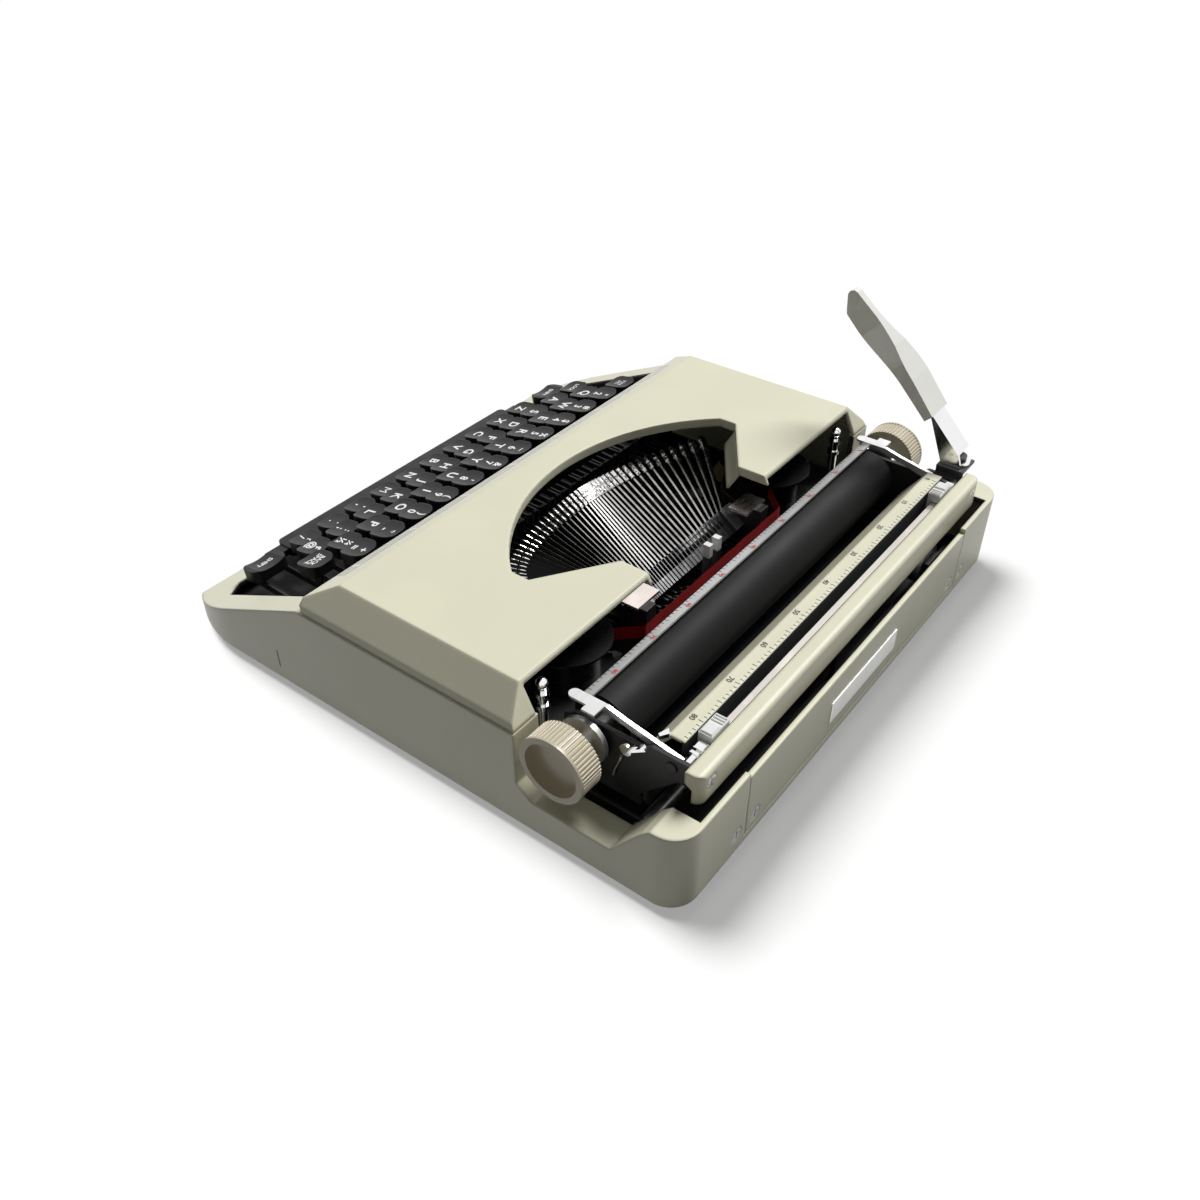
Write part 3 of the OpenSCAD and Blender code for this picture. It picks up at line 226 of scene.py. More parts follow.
def enamel(name, paint, shade_mask=None):
    """Sprayed and baked enamel: faint orange peel, slight mottling, specks of dirt, rubbed edges and painted
    black shade.
    """
    f = Finish(name)
    colour = f.blend(f.rise(f.noise(26, 3.0), 0.3, 0.75), shade(paint, 0.955), paint)
    dirt = f.specks(55, 0.018) * (f.noise(14) > 0.56)
    colour = f.blend(dirt * 0.75, colour, DIRT)
    grime = f.rise(f.noise(9, 4.0), 0.58, 0.8)
    colour = f.blend(grime * 0.10, colour, GRIME)
    rubbed = f.edges(f.rounded(RUBBED_EDGE)) * f.rise(f.noise(130, 4.0), 0.45, 0.7)
    colour = f.blend(rubbed * 0.25, colour, PRIMER)
    rough = 0.30 + 0.10 * f.noise(60)
    # Painted shade: the masked places turn black and dull
    if shade_mask:
        painted_shade = shade_mask(f)
        colour = f.blend(painted_shade, colour, SHADE_BLACK)
        rough = rough + 0.35 * painted_shade
    peel = f.noise(620, 1.0)
    return f.surface(colour=colour, rough=rough, normal=f.bump(peel, 0.10, normal=f.rounded(SOFT_EDGE)))


def inside_of_case(f):
    """Share of the lower case that is inside and out of sight, painted black as shade; limits in metres."""
    wide = abs(f.x)
    rim_slope, rim_front = math.tan(math.radians(24.6)), (BASE_Z + 4.4) * MM
    rim = (f.y - FRONT_Y * MM) * rim_slope + rim_front
    level = (BASE_Z + 47) * MM
    wall, well_wall, bay_wall = 0.1368, 0.1292, 0.1271
    bay_start, bay_end = 0.066, 0.1412
    keyboard = f.y < bay_start
    front = keyboard * (wide < wall) * (f.z < rim - 0.0012) * (f.z < level - 0.0012)
    well = keyboard * (wide < well_wall) * (f.z < rim - 0.0008) * (f.z < level - 0.0006)
    bay = (f.y > bay_start - 0.0001) * (wide < bay_wall) * (f.y < bay_end)
    shaded_places = (front + well + bay) > 0.5
    above_base = f.z > (BASE_Z + 0.2) * MM
    behind_lip = f.y > (FRONT_Y + 4) * MM
    # The front corners sweep in; their outer wall keeps its paint
    corner_x, corner_y, corner_r = 0.0775, -0.1035, 0.0627
    across, ahead = (wide - corner_x).at_least(0.0), (corner_y - f.y).at_least(0.0)
    swept = across * across + ahead * ahead < corner_r ** 2
    return shaded_places * above_base * behind_lip * swept


def under_cover(f):
    """The underside of the ribbon cover is painted dark as shade, above the foot of its side skirts."""
    return (f.up() < -0.3) * (f.z > (BASE_Z + 48) * MM)


def behind_table(f):
    """The back and the foot of the paper table are painted black as shade; only its top and slope keep the
    cream.
    """
    back = (f.y > (BACK_Y - 22.4) * MM) * (f.z < (BASE_Z + 50.7) * MM)
    return back + (f.up() < -0.3) > 0.5


def black_enamel():
    """Black enamel of the chassis, dulled by dust."""
    f = Finish("black_enamel")
    dust = f.rise(f.noise(70, 4.0), 0.52, 0.85)
    colour = f.blend(dust * 0.22, BLACK_PAINT, DUST)
    return f.surface(colour=colour, rough=0.42 + 0.2 * dust, specular=0.3,
                     normal=f.bump(f.noise(900, 1.0), 0.12, normal=f.rounded(FINE_EDGE)))


def plated(name, tint, rough, along=(30, 900, 900), wear=0.12):
    """Bright plate or ground steel with fine drawn lines and dull patches."""
    f = Finish(name)
    lines = f.noise(1.0, where=f.stretched(*along))
    dull = f.rise(f.noise(80, 3.0), 0.5, 0.8)
    colour = f.blend(dull * 0.35, tint, shade(tint, 0.72))
    return f.surface(colour=colour, metal=1.0, rough=rough + wear * dull + 0.10 * lines,
                     normal=f.bump(lines, 0.10, 0.0001))


def moulded(name, tint, rough, specks=0.2, coat=0.0):
    """Moulded plastic with a soft grain and rubbed places."""
    f = Finish(name)
    colour = f.blend(f.rise(f.noise(40, 3.0), 0.35, 0.8), shade(tint, 0.93), tint)
    colour = f.blend(f.specks(300, 0.06) * specks, colour, shade(tint, 0.6))
    return f.surface(colour=colour, rough=rough + 0.12 * f.noise(120), coat=coat,
                     normal=f.bump(f.noise(1500, 1.0), 0.06))


def key_black(name, tint, rubbed):
    """Key tops: satin black, greyer and smoother where fingers touch."""
    f = Finish(name)
    worn = f.rise(f.up(), 0.75, 0.97) * f.rise(f.noise(110, 3.0), 0.3, 0.75)
    colour = f.blend(worn * 0.6, tint, rubbed)
    return f.surface(colour=colour, rough=0.34 + 0.12 * f.noise(300) - 0.06 * worn, specular=0.24,
                     normal=f.bump(f.noise(1700, 1.0), 0.10, normal=f.rounded(FINE_EDGE)))


def platen_rubber():
    """Ground rubber: fine turned rings along the roller, dull black."""
    f = Finish("platen_rubber")
    rings = f.noise(1.0, 1.0, f.stretched(1400, 25, 25))
    rib = 0.0011
    ribs = abs(f.x % rib - rib / 2) * 1800
    patch = f.rise(f.noise(22, 4.0), 0.45, 0.8)
    colour = f.blend(patch * 0.6, RUBBER, WORN_RUBBER)
    colour = f.blend(f.rise(rings, 0.55, 0.9) * 0.3, colour, RUBBER_RING)
    return f.surface(colour=colour, rough=0.56 - 0.08 * patch, specular=0.14,
                     normal=f.bump(0.6 * rings + 0.5 * ribs, 0.35))


def ribbon_cloth():
    """Inked cotton ribbon: red upper half, darker lower half, fine square weave."""
    f = Finish("ribbon_cloth")
    low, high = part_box("ribbon")
    warp, weft = (f.node("ShaderNodeTexWave", {"bands_direction": way}, {"Vector": f.place, "Scale": 900.0})
                  for way in "XZ")
    middle, blur = (low.z + high.z) / 2, 0.0004
    half = f.rise(f.z, middle - blur, middle + blur)
    colour = f.blend(half, RIBBON_BLACK, RIBBON_RED)
    colour = f.blend(f.rise(f.noise(90, 3.0), 0.4, 0.8) * 0.4, colour, RIBBON_FADED)
    return f.surface(colour=colour, rough=0.85, sheen=0.04, specular=0.2, normal=f.bump(warp * weft, 0.4))


def clear_strip():
    """Cloudy clear plastic strip with moulded nicks along it."""
    f = Finish("clear_strip")
    step, nick_half = 0.034, 0.0006
    nick = abs((f.x + step / 4) % step - step / 2) < nick_half
    haze = f.noise(120, 4.0)
    colour = f.blend(f.rise(haze, 0.3, 0.8), STRIP_DARK, STRIP_PALE)
    colour = f.blend(nick * 0.8, colour, STRIP_NICK)
    return f.surface(colour=colour, rough=0.16 + 0.2 * haze, coat=0.4, normal=f.bump(haze, 0.1, 0.0003))


def cast_segment():
    """Ground casting, grey on its upward faces; its slot walls and other faces are painted dark as shade."""
    f = Finish("cast_segment")
    rub = f.rise(f.noise(240, 3.0), 0.45, 0.75)
    # Painted shade: faces that do not point up are painted dark
    unshaded_top = f.rise(f.up(), 0.2, 0.7)
    colour = f.blend(unshaded_top * (0.6 + 0.4 * rub), SLOT_SHADE, GROUND_IRON)
    return f.surface(colour=colour, metal=0.75, rough=0.5 - 0.15 * rub, normal=f.bump(f.noise(700), 0.2))


def type_steel():
    """Type bars: a painted highlight along the edges that face the basket's axis, painted black shade on
    their flanks.
    """
    f = Finish("type_steel")
    lines = f.noise(1.0, where=f.stretched(900, 60, 900))
    ink = f.rise(f.noise(170, 4.0), 0.45, 0.75)
    turn = Matrix.Rotation(math.radians(BASKET_TILT - 90), 3, "X")
    axis = tuple(turn @ Vector((0, 1, 0)))
    centre = tuple((BAR_PIVOT + turn @ Vector((0, 0, BASKET_R))) * MM)
    off = f.vector("SUBTRACT", centre, f.place)
    inward = f.vector("NORMALIZE", f.vector("SUBTRACT", off, f.vector("PROJECT", off, axis)), (0, 0, 0))
    # Painted highlight where the surface faces the basket's axis; ink dulls it
    painted_highlight = f.rise(f.vector("DOT_PRODUCT", inward, f.facing(), "Value"), 0.35, 0.6)
    colour = f.blend(painted_highlight * (1 - 0.5 * ink), SHADE_BLACK, BAR_HIGHLIGHT)
    return f.surface(colour=colour, metal=1.0, rough=0.22 + 0.14 * ink + 0.1 * lines,
                     normal=f.bump(lines, 0.12, 0.0001))


def type_face():
    """Plated type slugs with ink left in the characters."""
    f = Finish("type_face")
    ink = f.rise(f.noise(820), 0.50, 0.58)
    colour = f.blend(ink * 0.85, SLUG_PLATE, INK)
    return f.surface(colour=colour, metal=1.0, rough=0.14 + 0.3 * ink, normal=f.bump(ink, 0.3, 0.0001))


def guide_enamel():
    """Type guide: white enamel on the prongs, black below."""
    f = Finish("guide_enamel")
    prong = f.rise(f.z, (BASE_Z + 45) * MM, (BASE_Z + 46.2) * MM)
    scuff = f.rise(f.noise(260, 4.0), 0.5, 0.8)
    colour = f.blend(prong, OILED, f.blend(scuff * 0.3, GUIDE_WHITE, GUIDE_SCUFF))
    return f.surface(colour=colour, rough=0.34 + 0.2 * scuff, normal=f.bump(scuff, 0.1))


def printed(name, tint):
    """Printed or moulded-in lettering, slightly worn."""
    f = Finish(name)
    wear = f.rise(f.noise(700, 3.0), 0.66, 0.9)
    worn = tuple(0.5 * c + 0.12 for c in tint)
    return f.surface(colour=f.blend(wear * 0.3, tint, worn), rough=0.5 + 0.2 * wear)


ALONG_X, ALONG_Y = (40, 700, 700), (900, 40, 900)
finishes = {
    "cover_paint": enamel("cream_enamel_cover", CREAM, under_cover),
    "case_paint": enamel("cream_enamel_case", shade(CREAM, 0.97), inside_of_case),
    "table_paint": enamel("cream_enamel_table", CREAM, behind_table),
    "bar_paint": enamel("cream_enamel_bar", shade(CREAM, 0.98)),
    "dark_chassis": black_enamel(),
    "bright_steel": plated("ground_steel", (0.50, 0.50, 0.50), 0.30, ALONG_Y),
    # This steel is darkened as painted shade for the parts inside the machine
    "dark_steel": plated("steel_darkened_as_shade", (0.06, 0.06, 0.06), 0.42, ALONG_Y),
    "rack_steel": plated("rack_steel", (0.60, 0.565, 0.525), 0.18, ALONG_X),
    "bail_plate": plated("satin_plate", (0.56, 0.56, 0.56), 0.30, ALONG_X),
    "type_steel": type_steel(),
    "type_face": type_face(),
    "segment_iron": cast_segment(),
    "plate_steel": plated("segment_plate", (0.74, 0.66, 0.62), 0.22, (60, 900, 900), wear=0.18),
    "chrome_trim": plated("chrome_plate", (0.88, 0.88, 0.89), 0.07, ALONG_X, wear=0.10),
    "key_plastic": key_black("key_black", (0.005, 0.005, 0.0055), (0.016, 0.016, 0.017)),
    "space_plastic": key_black("space_bar_black", (0.012, 0.012, 0.0125), (0.035, 0.035, 0.036)),
    "spool_plastic": moulded("black_spool", (0.010, 0.010, 0.011), 0.22),
    "knob_plastic": moulded("tan_knob", (0.56, 0.50, 0.36), 0.34, specks=0.3, coat=0.15),
    "white_plastic": moulded("white_plastic", (0.84, 0.84, 0.82), 0.26),
    "grip_plastic": moulded("cream_grip", (0.93, 0.925, 0.865), 0.20, specks=0.1, coat=0.8),
    "platen_rubber": platen_rubber(),
    "foot_rubber": moulded("foot_rubber", (0.02, 0.02, 0.02), 0.75),
    "rest_felt": moulded("rest_pad", (0.008, 0.008, 0.008), 0.9),
    "ribbon_cloth": ribbon_cloth(),
    "bell_brass": plated("bell_brass", (0.09, 0.066, 0.028), 0.45),
    "trim_strip": clear_strip(),
    "guide_enamel": guide_enamel(),
    "white_print": printed("white_lettering", (0.90, 0.90, 0.88)),
    # This black serves both for printed marks and for painted shade in the side slots of the case
    "black_print_and_shade": printed("black_lettering_and_shade", (0.03, 0.03, 0.03)),
    "red_print": printed("red_lettering", (0.50, 0.03, 0.03)),
    "bare_plate": plated("bare_plate", (0.72, 0.72, 0.70), 0.32, (300, 300, 900)),
}
# Solids that differ from the finish of their slot
# The key levers, comb and shift frame take the darkened steel, painted shade for the inside of the machine
own_finish = dict.fromkeys(("key_comb", "number_levers", "upper_levers", "home_levers", "lower_levers",
                            "letter_h_lever", "shift_frame"), "dark_steel")
own_finish.update({"paper_table": "table_paint", "carriage_back": "bar_paint", "margin_rack": "rack_steel",
                   "paper_bail": "bail_plate", "type_guide": "guide_enamel",
                   "segment_plates": "plate_steel", "space_bar": "space_plastic"})
for part in frame["record"]["subparts"]:
    solid = frame["nodes"][part["node"]]
    solid.data.materials[0] = finishes[own_finish.get(part["node"], part["material_slot"])]


# Making pieces

def turned(faces):
    """The same faces, seen from their other side."""
    return [tuple(reversed(face)) for face in faces]


def walls(start, count):
    """Faces between a ring of points and the ring that follows it."""
    return [(start + i, start + (i + 1) % count, start + count + (i + 1) % count, start + count + i)
            for i in range(count)]


class Heap:
    """Points in millimetres and faces, gathered for one piece."""

    def __init__(self):
        self.points, self.faces = [], []

    def add(self, points, faces):
        start = len(self.points)
        self.points += [tuple(p) for p in points]
        self.faces += [tuple(i + start for i in face) for face in faces]

    def slab(self, put, low, high, bevel=0.0):
        """A block with bevelled upper edges from its low to its high corner, laid out by put(u, v, w)."""
        (u0, v0, w0), (u1, v1, w1), b = low, high, bevel
        rings = [[(u0, v0, w0), (u1, v0, w0), (u1, v1, w0), (u0, v1, w0)],
                 [(u0, v0, w1 - b), (u1, v0, w1 - b), (u1, v1, w1 - b), (u0, v1, w1 - b)],
                 [(u0 + b, v0 + b, w1), (u1 - b, v0 + b, w1), (u1 - b, v1 - b, w1), (u0 + b, v1 - b, w1)]]
        self.add([put(*p) for ring in rings for p in ring],
                 [(3, 2, 1, 0), (8, 9, 10, 11)] + walls(0, 4) + walls(4, 4))

    def prism(self, corners, low, high, sideways=False):
        """A block over a flat outline in X and Y, or sideways over one in Y and Z."""
        n = len(corners)
        self.add([(w, u, v) if sideways else (u, v, w) for w in (low, high) for u, v in corners],
                 [tuple(reversed(range(n))), tuple(range(n, 2 * n))] + walls(0, n))

    def wire(self, route, radius, sides=10):
        """A round wire along a route of points."""
        stops = [Vector(p) for p in route]
        last = len(stops) - 1
        turns = [2 * math.pi * k / sides for k in range(sides)]
        points, faces = [], [tuple(reversed(range(sides))), tuple(range(last * sides, (last + 1) * sides))]
        for i, stop in enumerate(stops):
            ahead = (stops[min(i + 1, last)] - stops[max(i - 1, 0)]).normalized()
            across = ahead.cross(Vector((1, 0, 0))).normalized()
            other = ahead.cross(across)
            points += [stop + radius * (math.cos(t) * across + math.sin(t) * other) for t in turns]
            if i < last:
                faces += walls(i * sides, sides)
        self.add(points, faces)

    def word(self, text, size, put, u=0.0, v=0.0):
        """A flat word of a letter size, laid out by put(u, v)."""
        points, faces = glyphs(text)
        self.add([put(u + px * size, v + py * size) for px, py in points], faces)


def piece(name, heap, finish, body, smooth=False):
    """A mesh piece from a heap, moving with a body."""
    mesh = bpy.data.meshes.new(name)
    mesh.from_pydata([Vector(p) * MM for p in heap.points], [], heap.faces)
    mesh.validate()
    obj = bpy.data.objects.new(name, mesh)
    bpy.context.scene.collection.objects.link(obj)
    mesh.materials.append(finishes[finish])
    if smooth:
        mesh.shade_smooth()
    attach(obj, body)
    return obj


glyph_store = {}
LETTER_THICKEN, LINE_SPACE = 0.028, 0.85


def glyphs(text):
    """Flat outline of a word, one unit high in letter size, centred on nought."""
    if text not in glyph_store:
        curve = bpy.data.curves.new("word", "FONT")
        curve.body, curve.size = text, 1.0
        curve.align_x, curve.align_y = "CENTER", "CENTER"
        curve.resolution_u = 3
        # The letter M closes up when it is thickened
        curve.offset = 0.0 if "M" in text else LETTER_THICKEN
        curve.space_line = LINE_SPACE
        obj = bpy.data.objects.new("word", curve)
        bpy.context.scene.collection.objects.link(obj)
        bpy.context.view_layer.update()
        mesh = bpy.data.meshes.new_from_object(obj.evaluated_get(bpy.context.evaluated_depsgraph_get()))
        xs, ys = zip(*((v.co.x, v.co.y) for v in mesh.vertices))
        mx, my = (min(xs) + max(xs)) / 2, (min(ys) + max(ys)) / 2
        glyph_store[text] = ([(x - mx, y - my) for x, y in zip(xs, ys)],
                             [tuple(p.vertices) for p in mesh.polygons])
        bpy.data.objects.remove(obj)
        bpy.data.curves.remove(curve)
        bpy.data.meshes.remove(mesh)
    return glyph_store[text]


# Ways to lay points out on the machine

def on_level(z):
    """Places a point on a level surface."""
    def put(u, v, w=0.0):
        return u, v, z + w
    return put


def on_slope(x, y, z, tilt, lift):
    """Places a point on a surface that rises away from the typist, lifted off it."""
    def put(u, v, w=0.0):
        h = w + lift
        return (x + u, y + v * math.cos(tilt) - h * math.sin(tilt),
                z + v * math.sin(tilt) + h * math.cos(tilt))
    return put


def on_key(x, row, lift=0.07):
    """Places a flat point on the dished, sloping top of a key."""
    slope = on_slope(x, ROW_Y + row * ROW_PITCH, ROW_TOP + row * ROW_RISE, CAP_TILT, lift)

    def put(u, v):
        return slope(u, v, min(0.0, DISH_R - DISH_DEPTH - math.sqrt(DISH_R ** 2 - u * u)))
    return put


def on_bar(i):
    """Places a point in the frame of one type bar at rest."""
    def spin(degrees, axis):
        return Matrix.Rotation(math.radians(degrees), 4, axis)
    lean = FAN_LEAN * (abs(i - MIDDLE_BAR) / MIDDLE_BAR) ** FAN_CURVE
    matrix = (Matrix.Translation(BAR_PIVOT) @ spin(BASKET_TILT - 90, "X")
              @ Matrix.Translation((0, 0, BASKET_R)) @ spin(-(i - MIDDLE_BAR) * BAR_STEP, "Y")
              @ Matrix.Translation((0, 0, -BASKET_R)) @ spin(lean, "X"))

    def put(u, v, w):
        return tuple(matrix @ Vector((u, v, w)))
    return put


def on_back(u, v, w):
    """Places a point on the back of the case."""
    return u, BACK_Y + w, v


def on_side(side):
    """Places a point on a side wall of the case."""
    def put(u, v, w):
        return side * (SIDE_X + w), u, v
    return put


# Key lettering, in white on the dished tops

KEY_ROWS = {"lower": ["Z", "X", "C", "V", "B", "N", "M", ", ,", ". .", "? /"],
            "home": ["A", "S", "D", "F", "G", "H", "J", "K", "L", ": ;", "¢ @"],
            "upper": ["Q", "W", "E", "R", "T", "Y", "U", "I", "O", "P", "¼ ½"],
            "number": ['" 2', "# 3", "$ 4", "% 5", "_ 6", "& 7", "' 8", "( 9", ") 0", "* -", "+ ="]}
MIDDLE_KEY = 5
LETTER_SIZE = 7.6
UPPER_SIGN, LOWER_SIGN = (5.8, 3.2), (6.2, -2.7)    # size and place along the cap


def key_letters():
    for row, (name, signs) in enumerate(KEY_ROWS.items()):
        legends = Heap()
        for k, sign in enumerate(signs):
            heap = Heap() if sign == "H" else legends
            put = on_key(ROW_SHIFT[row] + KEY_PITCH * (k - MIDDLE_KEY), row)
            if " " in sign:
                for part_sign, (size, v) in zip(sign.split(" "), (UPPER_SIGN, LOWER_SIGN)):
                    heap.word(part_sign, size, put, 0, v)
            else:
                heap.word(sign, LETTER_SIZE, put)
            if heap is not legends:
                piece("letter_h_mark", heap, "white_print", "letter_h")
        piece(name + "_key_marks", legends, "white_print", name + "_row")


def side_key_words():
    for name, body, xs, row, text, size in (
            ("shift_marks", "shift", (-106.5, 106.5), 0, "SHIFT", 3.6),
            ("shift_lock_mark", "shift_lock", (-6 * KEY_PITCH,), 1, "LOCK", 3.3),
            ("back_space_mark", "back_space", (103.6,), 2, "BACK\nSPACE", 3.3),
            ("margin_release_mark", "margin_release", (-104.8,), 3, "MAR\nREL", 3.3)):
        words = Heap()
        for x in xs:
            words.word(text, size, on_key(x, row))
        piece(name, words, "white_print", body)


# Scales of the carriage

def paper_scale():
    half, long, short, edge = 0.16, 2.2, 1.4, BACK_Y - 21.5
    number_size, number_y = 3.3, BACK_Y - 25.9
    marks = Heap()
    for n in PAPER_MARKS:
        x = SCALE_ZERO + SCALE_STEP * n
        length = short if n % 5 else long
        marks.slab(on_level(TABLE_Z), (x - half, edge - length, 0), (x + half, edge, PRINT_THICK))
    for n in TENS:
        x = SCALE_ZERO + SCALE_STEP * n
        marks.word(str(n), number_size, on_level(TABLE_Z + PRINT_THICK), x, number_y)
    piece("paper_scale_marks", marks, "black_print_and_shade", "carriage")


def bail_scale():
    strip = 0, PLATEN_Y - 4.6, PLATEN_Z + PLATEN_R + 0.1, math.radians(19)
    strip_top = 0.8
    half, long, short, edge = 0.17, 2.0, 1.3, -2.3
    number_size, number_v = 2.9, 1.0
    ticks, tens = Heap(), Heap()
    for n in BAIL_MARKS:
        x = SCALE_ZERO + SCALE_STEP * n
        length = short if n % 5 else long
        ticks.slab(on_slope(*strip, strip_top), (x - half, edge, 0), (x + half, edge + length, PRINT_THICK))
    for n in TENS:
        x = SCALE_ZERO + SCALE_STEP * n
        tens.word(str(n), number_size, on_slope(*strip, strip_top + PRINT_THICK), x, number_v)
    piece("bail_scale_ticks", ticks, "black_print_and_shade", "bail")
    piece("bail_scale_numbers", tens, "red_print", "bail")


# Raised type on the slugs

def type_slugs():
    """Each slug carries two characters: a plated pad and a raised face on it."""
    offset = 2.1
    pad_u, pad_v, pad_low, pad_top, pad_bevel = 0.9, 1.75, 2.2, 2.45, 0.1
    face_u, face_v, face_low, face_top, face_bevel = 0.55, 1.2, 2.44, 2.62, 0.12
    slugs, middle_slug = Heap(), Heap()
    for i in range(BARS):
        heap, put = middle_slug if i == MIDDLE_BAR else slugs, on_bar(i)
        for v in (-BAR_LEN - offset, -BAR_LEN + offset):
            heap.slab(put, (-pad_u, v - pad_v, pad_low), (pad_u, v + pad_v, pad_top), pad_bevel)
            heap.slab(put, (-face_u, v - face_v, face_low), (face_u, v + face_v, face_top), face_bevel)
    piece("type_faces", slugs, "type_face", "chassis")
    piece("letter_h_type_face", middle_slug, "type_face", "h_type_bar")


# Ribbon, as thin cloth with a slight ripple

def ribbon_cloth_band():
    ribbon_low, ribbon_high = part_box("ribbon")
    low_z, high_z = ribbon_low.z / MM, ribbon_high.z / MM
    spool_x, spool_y, post_x, post_y = 68.6, BACK_Y - 98 + 7.8, 56.0, BACK_Y - 77 + 0.2
    lead, run, rows = 6, 60, 8
    ripple, along, upward = 0.12, 0.37, 0.9
    in_x, in_y = spool_x - post_x, post_y - spool_y
    route = ([(-spool_x + in_x * t / lead, spool_y + in_y * t / lead) for t in range(lead)]
             + [(-post_x + 2 * post_x * t / run, post_y) for t in range(run + 1)]
             + [(post_x + in_x * t / lead, post_y - in_y * t / lead) for t in range(1, lead + 1)])
    cloth, step = Heap(), rows + 1
    cloth.add([(x, y + ripple * math.sin(x * along + upward * j), low_z + (high_z - low_z) * j / rows)
               for x, y in route for j in range(step)],
              [(a * step + j, (a + 1) * step + j, (a + 1) * step + j + 1, a * step + j + 1)
               for a in range(len(route) - 1) for j in range(rows)])
    band = piece("ribbon_band", cloth, "ribbon_cloth", "chassis", smooth=True)
    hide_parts("ribbon")
    ribbon_run = sum(math.dist(a, b) for a, b in zip(route, route[1:])) * MM


# Bare plate at the back, ribs on the margin stops, and painted shade for a narrow slot in each side of the
# case

def bare_back_plate():
    left, right, low, high, thick, bevel = -29, 31, 17, 28, 0.5, 0.25
    plate = Heap()
    plate.slab(on_back, (left, low, 0), (right, high, thick), bevel)
    plate.faces = turned(plate.faces)
    piece("bare_back_plate", plate, "bare_plate", "chassis")


def margin_stop_ribs():
    first_rib, rib_step, rib_half, rib_rise, rib_bevel = 98 - 5.2, 1.5, 0.4, 0.5, 0.2
    rib_front, rib_rear = BACK_Y - 19.0, BACK_Y - 14.0
    cap_near, cap_far, cap_rise, cap_bevel = 97.6, 103.6, 0.7, 0.5
    cap_front, cap_rear = BACK_Y - 19.2, BACK_Y - 13.8
    foot, put = -0.05, on_level(STOP_TOP)
    for side, body in ((-1, "left_stop"), (1, "right_stop")):
        ribs = Heap()
        for k in range(3):
            x = side * (first_rib + rib_step * k)
            ribs.slab(put, (x - rib_half, rib_front, foot), (x + rib_half, rib_rear, rib_rise), rib_bevel)
        low, high = sorted((side * cap_near, side * cap_far))
        ribs.slab(put, (low, cap_front, foot), (high, cap_rear, cap_rise), cap_bevel)
        piece(body + "_ribs", ribs, "white_plastic", body)


def case_side_slots():
    front, back, low, high, sunk, proud = -70.1, -69.3, 12.4, 22.2, -0.02, 0.04
    # A thin black slab on each side wall is painted shade for the slot
    slots = Heap()
    for side in (-1, 1):
        slots.slab(on_side(side), (front, low, sunk), (back, high, proud))
    piece("case_side_slots", slots, "black_print_and_shade", "chassis")


# Small bright pieces at the ends of the carriage

CLIP_OUTLINE = [(107.6, 113.9), (112.3, 112.5), (113.1, 113.7), (109.8, 115.8)]
CLIP_LOW, CLIP_TOP = BASE_Z + 49.6, BASE_Z + 51.5
# Blocks at the ends of the rack: near and far along X, front and rear before the back of the case, height
RACK_BLOCKS = ((104.8, 109.0, 18.2, 13.7, 5.0),
               (110.0, 111.4, 18.2, 14.0, 4.6),
               (111.4, 117.2, 17.2, 14.3, 3.6))
RACK_FOOT, BLOCK_BEVEL = BASE_Z + 45.6, 0.5
HOOK_X, HOOK_RADIUS = 118.8, 0.7
HOOK_ROUTE = ((97.6, 32.1), (98.6, 36.5), (99.8, 39.7), (100.6, 42.0), (101.0, 44.0))


def carriage_end_clips():
    clips = Heap()
    clips.prism(CLIP_OUTLINE, CLIP_LOW, CLIP_TOP)
    for side in (-1, 1):
        for near, far, front, rear, height in RACK_BLOCKS:
            low, high = sorted((side * near, side * far))
            clips.slab(on_level(RACK_FOOT), (low, BACK_Y - front, 0), (high, BACK_Y - rear, height),
                       BLOCK_BEVEL)
    clips.wire([(HOOK_X, y, z) for y, z in HOOK_ROUTE], HOOK_RADIUS)
    piece("carriage_end_clips", clips, "chrome_trim", "carriage")


def bail_pivot_caps():
    pivot_y, pivot_z, radius, sides = BACK_Y - 21, BASE_Z + 45, 2.4, 24
    plate_face, cap_face = 117.98, 118.7
    turns = [2 * math.pi * k / sides for k in range(sides)]
    outline = [(pivot_y + radius * math.cos(t), pivot_z + radius * math.sin(t)) for t in turns]
    caps = Heap()
    for low, high in ((plate_face, cap_face), (-cap_face, -plate_face)):
        caps.prism(outline, low, high, sideways=True)
    piece("bail_pivot_caps", caps, "dark_chassis", "carriage")


# Flaps that hang from the slanting cheeks of the type window

def window_cheek_flaps():
    outer_x, outer_y, inner_x, inner_y = 80.0, BACK_Y - 118.3, 46.5, BACK_Y - 96.0
    near, far, leans = 0.1, 1.5, -5.0
    low_z, high_z = BASE_Z + 49.0, BASE_Z + 57.0
    flaps = Heap()
    for side in (-1, 1):
        outer, inner = Vector((side * outer_x, outer_y)), Vector((side * inner_x, inner_y))
        along = (inner - outer).normalized()
        under = Vector((-along.y, along.x)) * side * -1
        corners = [outer + under * near, inner + under * near, inner + under * far, outer + under * far]
        foot = [(*(c + under * leans), low_z) for c in corners]
        sheet = [(3, 2, 1, 0), (4, 5, 6, 7)] + walls(0, 4)
        flaps.add(foot + [(*c, high_z) for c in corners], sheet if side < 0 else turned(sheet))
    piece("window_cheek_flaps", flaps, "cover_paint", "cover")


# Floor, light and camera

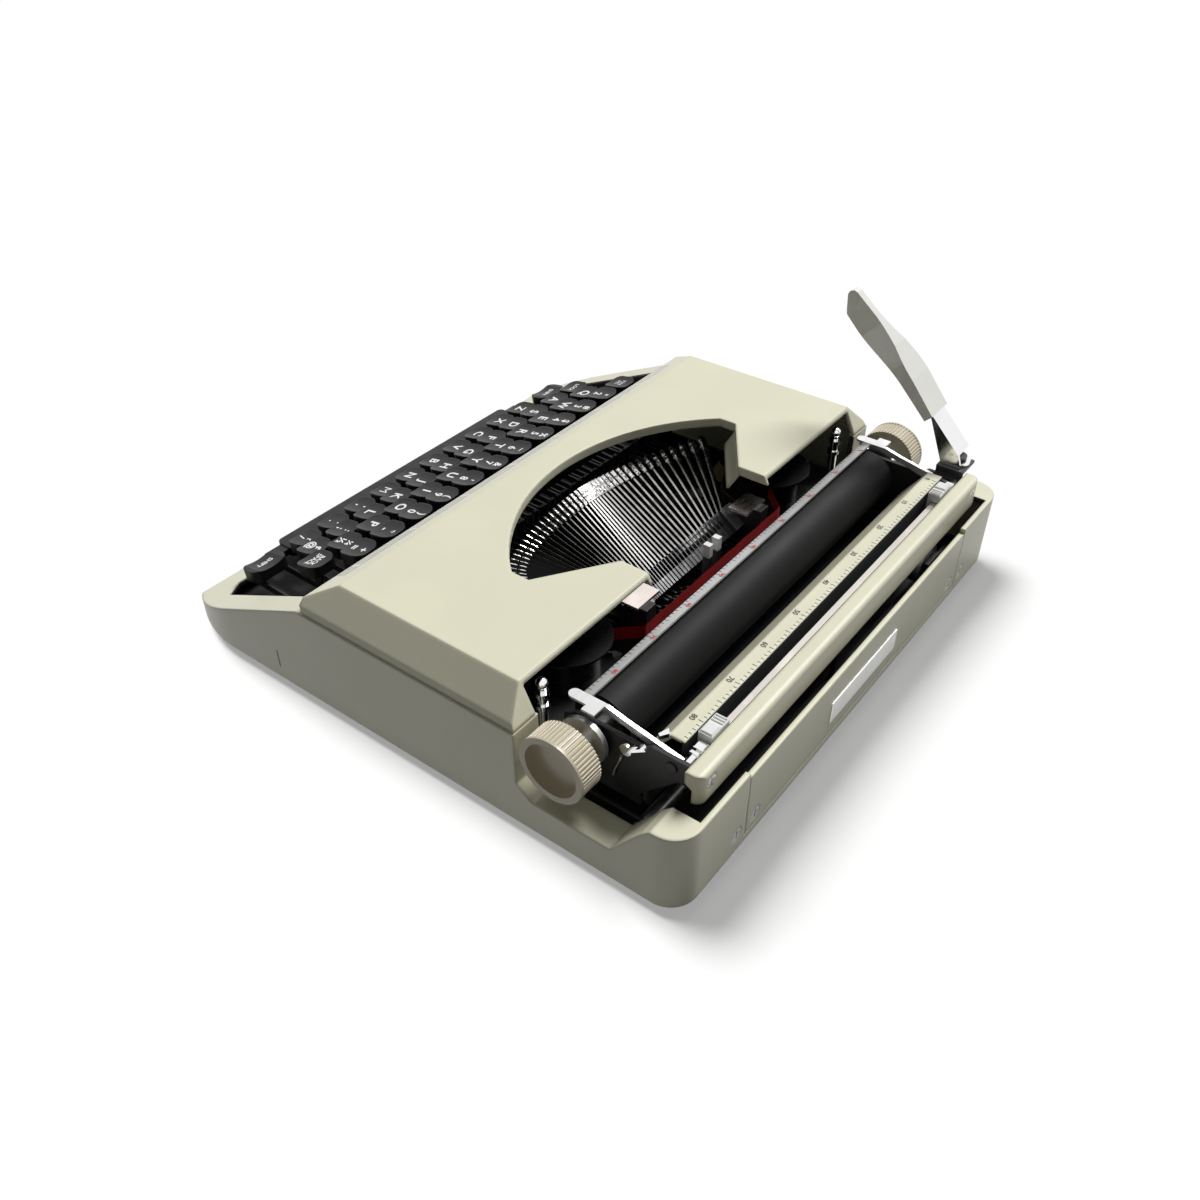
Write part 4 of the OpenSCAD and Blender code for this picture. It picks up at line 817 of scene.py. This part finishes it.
FLOOR_HALF, FLOOR_Z, FLOOR_GLOW = 8, -0.0002, 0.3
FLOOR_SEEN, FLOOR_DIM = (0.96, 0.96, 0.96, 1), (0.13, 0.13, 0.13, 1)
WHITE = (1, 1, 1, 1)
SUN_WIDTH = math.radians(26)
MACHINE_SUN, MACHINE_SUN_FROM = 3.3, (-0.75, 0.12, 1.0)
FLOOR_SUN, FLOOR_SUN_FROM = 3.25, (0.0, -0.5, 1.0)
FILL = 0.13
CAMERA_PLACE = (354.65, 269.51, 347.37)
CAMERA_YAW, CAMERA_PITCH = math.radians(37.1), math.radians(38.44)
LENS, SENSOR = 33.86, 36.0
CLIP_NEAR, CLIP_FAR = 0.01, 50


def stage_floor():
    """White to the eye with the shadow on it; as a source of light on the sides it is darker."""
    mesh = bpy.data.meshes.new("floor")
    corners = ((-1, -1), (1, -1), (1, 1), (-1, 1))
    mesh.from_pydata([(x * FLOOR_HALF, y * FLOOR_HALF, FLOOR_Z) for x, y in corners], [], [(0, 1, 2, 3)])
    floor = bpy.data.objects.new("floor", mesh)
    bpy.context.scene.collection.objects.link(floor)
    f = Finish("pale_floor")
    white = f.node("ShaderNodeEmission", values={"Color": WHITE, "Strength": 1.0})
    lit = f.node("ShaderNodeBsdfDiffuse", values={"Color": FLOOR_SEEN})
    dim = f.node("ShaderNodeBsdfDiffuse", values={"Color": FLOOR_DIM})
    shown = f.node("ShaderNodeMixShader", values={0: FLOOR_GLOW, 1: lit, 2: white})
    f.close(f.node("ShaderNodeMixShader", values={0: f.seen(), 1: dim, 2: shown}))
    mesh.materials.append(f.owner)
    return floor


def soft_sun(name, energy, source, floor, link):
    """A wide sun from one direction, for the floor alone or for everything but the floor."""
    sun = bpy.data.lights.new(name, "SUN")
    sun.energy, sun.angle = energy, SUN_WIDTH
    lamp = bpy.data.objects.new(name, sun)
    lamp.rotation_euler = Vector(source).to_track_quat("Z", "Y").to_euler()
    bpy.context.scene.collection.objects.link(lamp)
    receivers = bpy.data.collections.new(name + "_receivers")
    receivers.objects.link(floor)
    receivers.collection_objects[0].light_linking.link_state = link
    lamp.light_linking.receiver_collection = receivers


def stage_light(floor):
    """White surroundings that light the machine only a little, and a sun each for it and for the floor."""
    world = bpy.data.worlds.new("studio")
    bpy.context.scene.world = world
    f = Finish("studio", world)
    strength = FILL + (1 - FILL) * f.seen()
    light = f.node("ShaderNodeBackground", values={"Color": WHITE, "Strength": strength})
    f.close(light, "ShaderNodeOutputWorld")
    soft_sun("overhead", MACHINE_SUN, MACHINE_SUN_FROM, floor, "EXCLUDE")
    soft_sun("floor_light", FLOOR_SUN, FLOOR_SUN_FROM, floor, "INCLUDE")


def photo_camera():
    """Camera of the photograph, solved together with the scale of the machine."""
    data = bpy.data.cameras.new("photo_camera")
    data.lens, data.sensor_width, data.sensor_fit = LENS, SENSOR, "HORIZONTAL"
    data.clip_start, data.clip_end = CLIP_NEAR, CLIP_FAR
    camera = bpy.data.objects.new("photo_camera", data)
    level = math.cos(CAMERA_PITCH)
    ahead = Vector((-math.cos(CAMERA_YAW) * level, -math.sin(CAMERA_YAW) * level, -math.sin(CAMERA_PITCH)))
    camera.location = Vector(CAMERA_PLACE) * MM
    camera.rotation_euler = ahead.to_track_quat("-Z", "Y").to_euler()
    bpy.context.scene.collection.objects.link(camera)
    bpy.context.scene.camera = camera


key_letters()
side_key_words()
paper_scale()
bail_scale()
type_slugs()
ribbon_cloth_band()
bare_back_plate()
margin_stop_ribs()
case_side_slots()
carriage_end_clips()
bail_pivot_caps()
window_cheek_flaps()
stage_light(stage_floor())
photo_camera()
bpy.context.scene.view_settings.view_transform = "Standard"
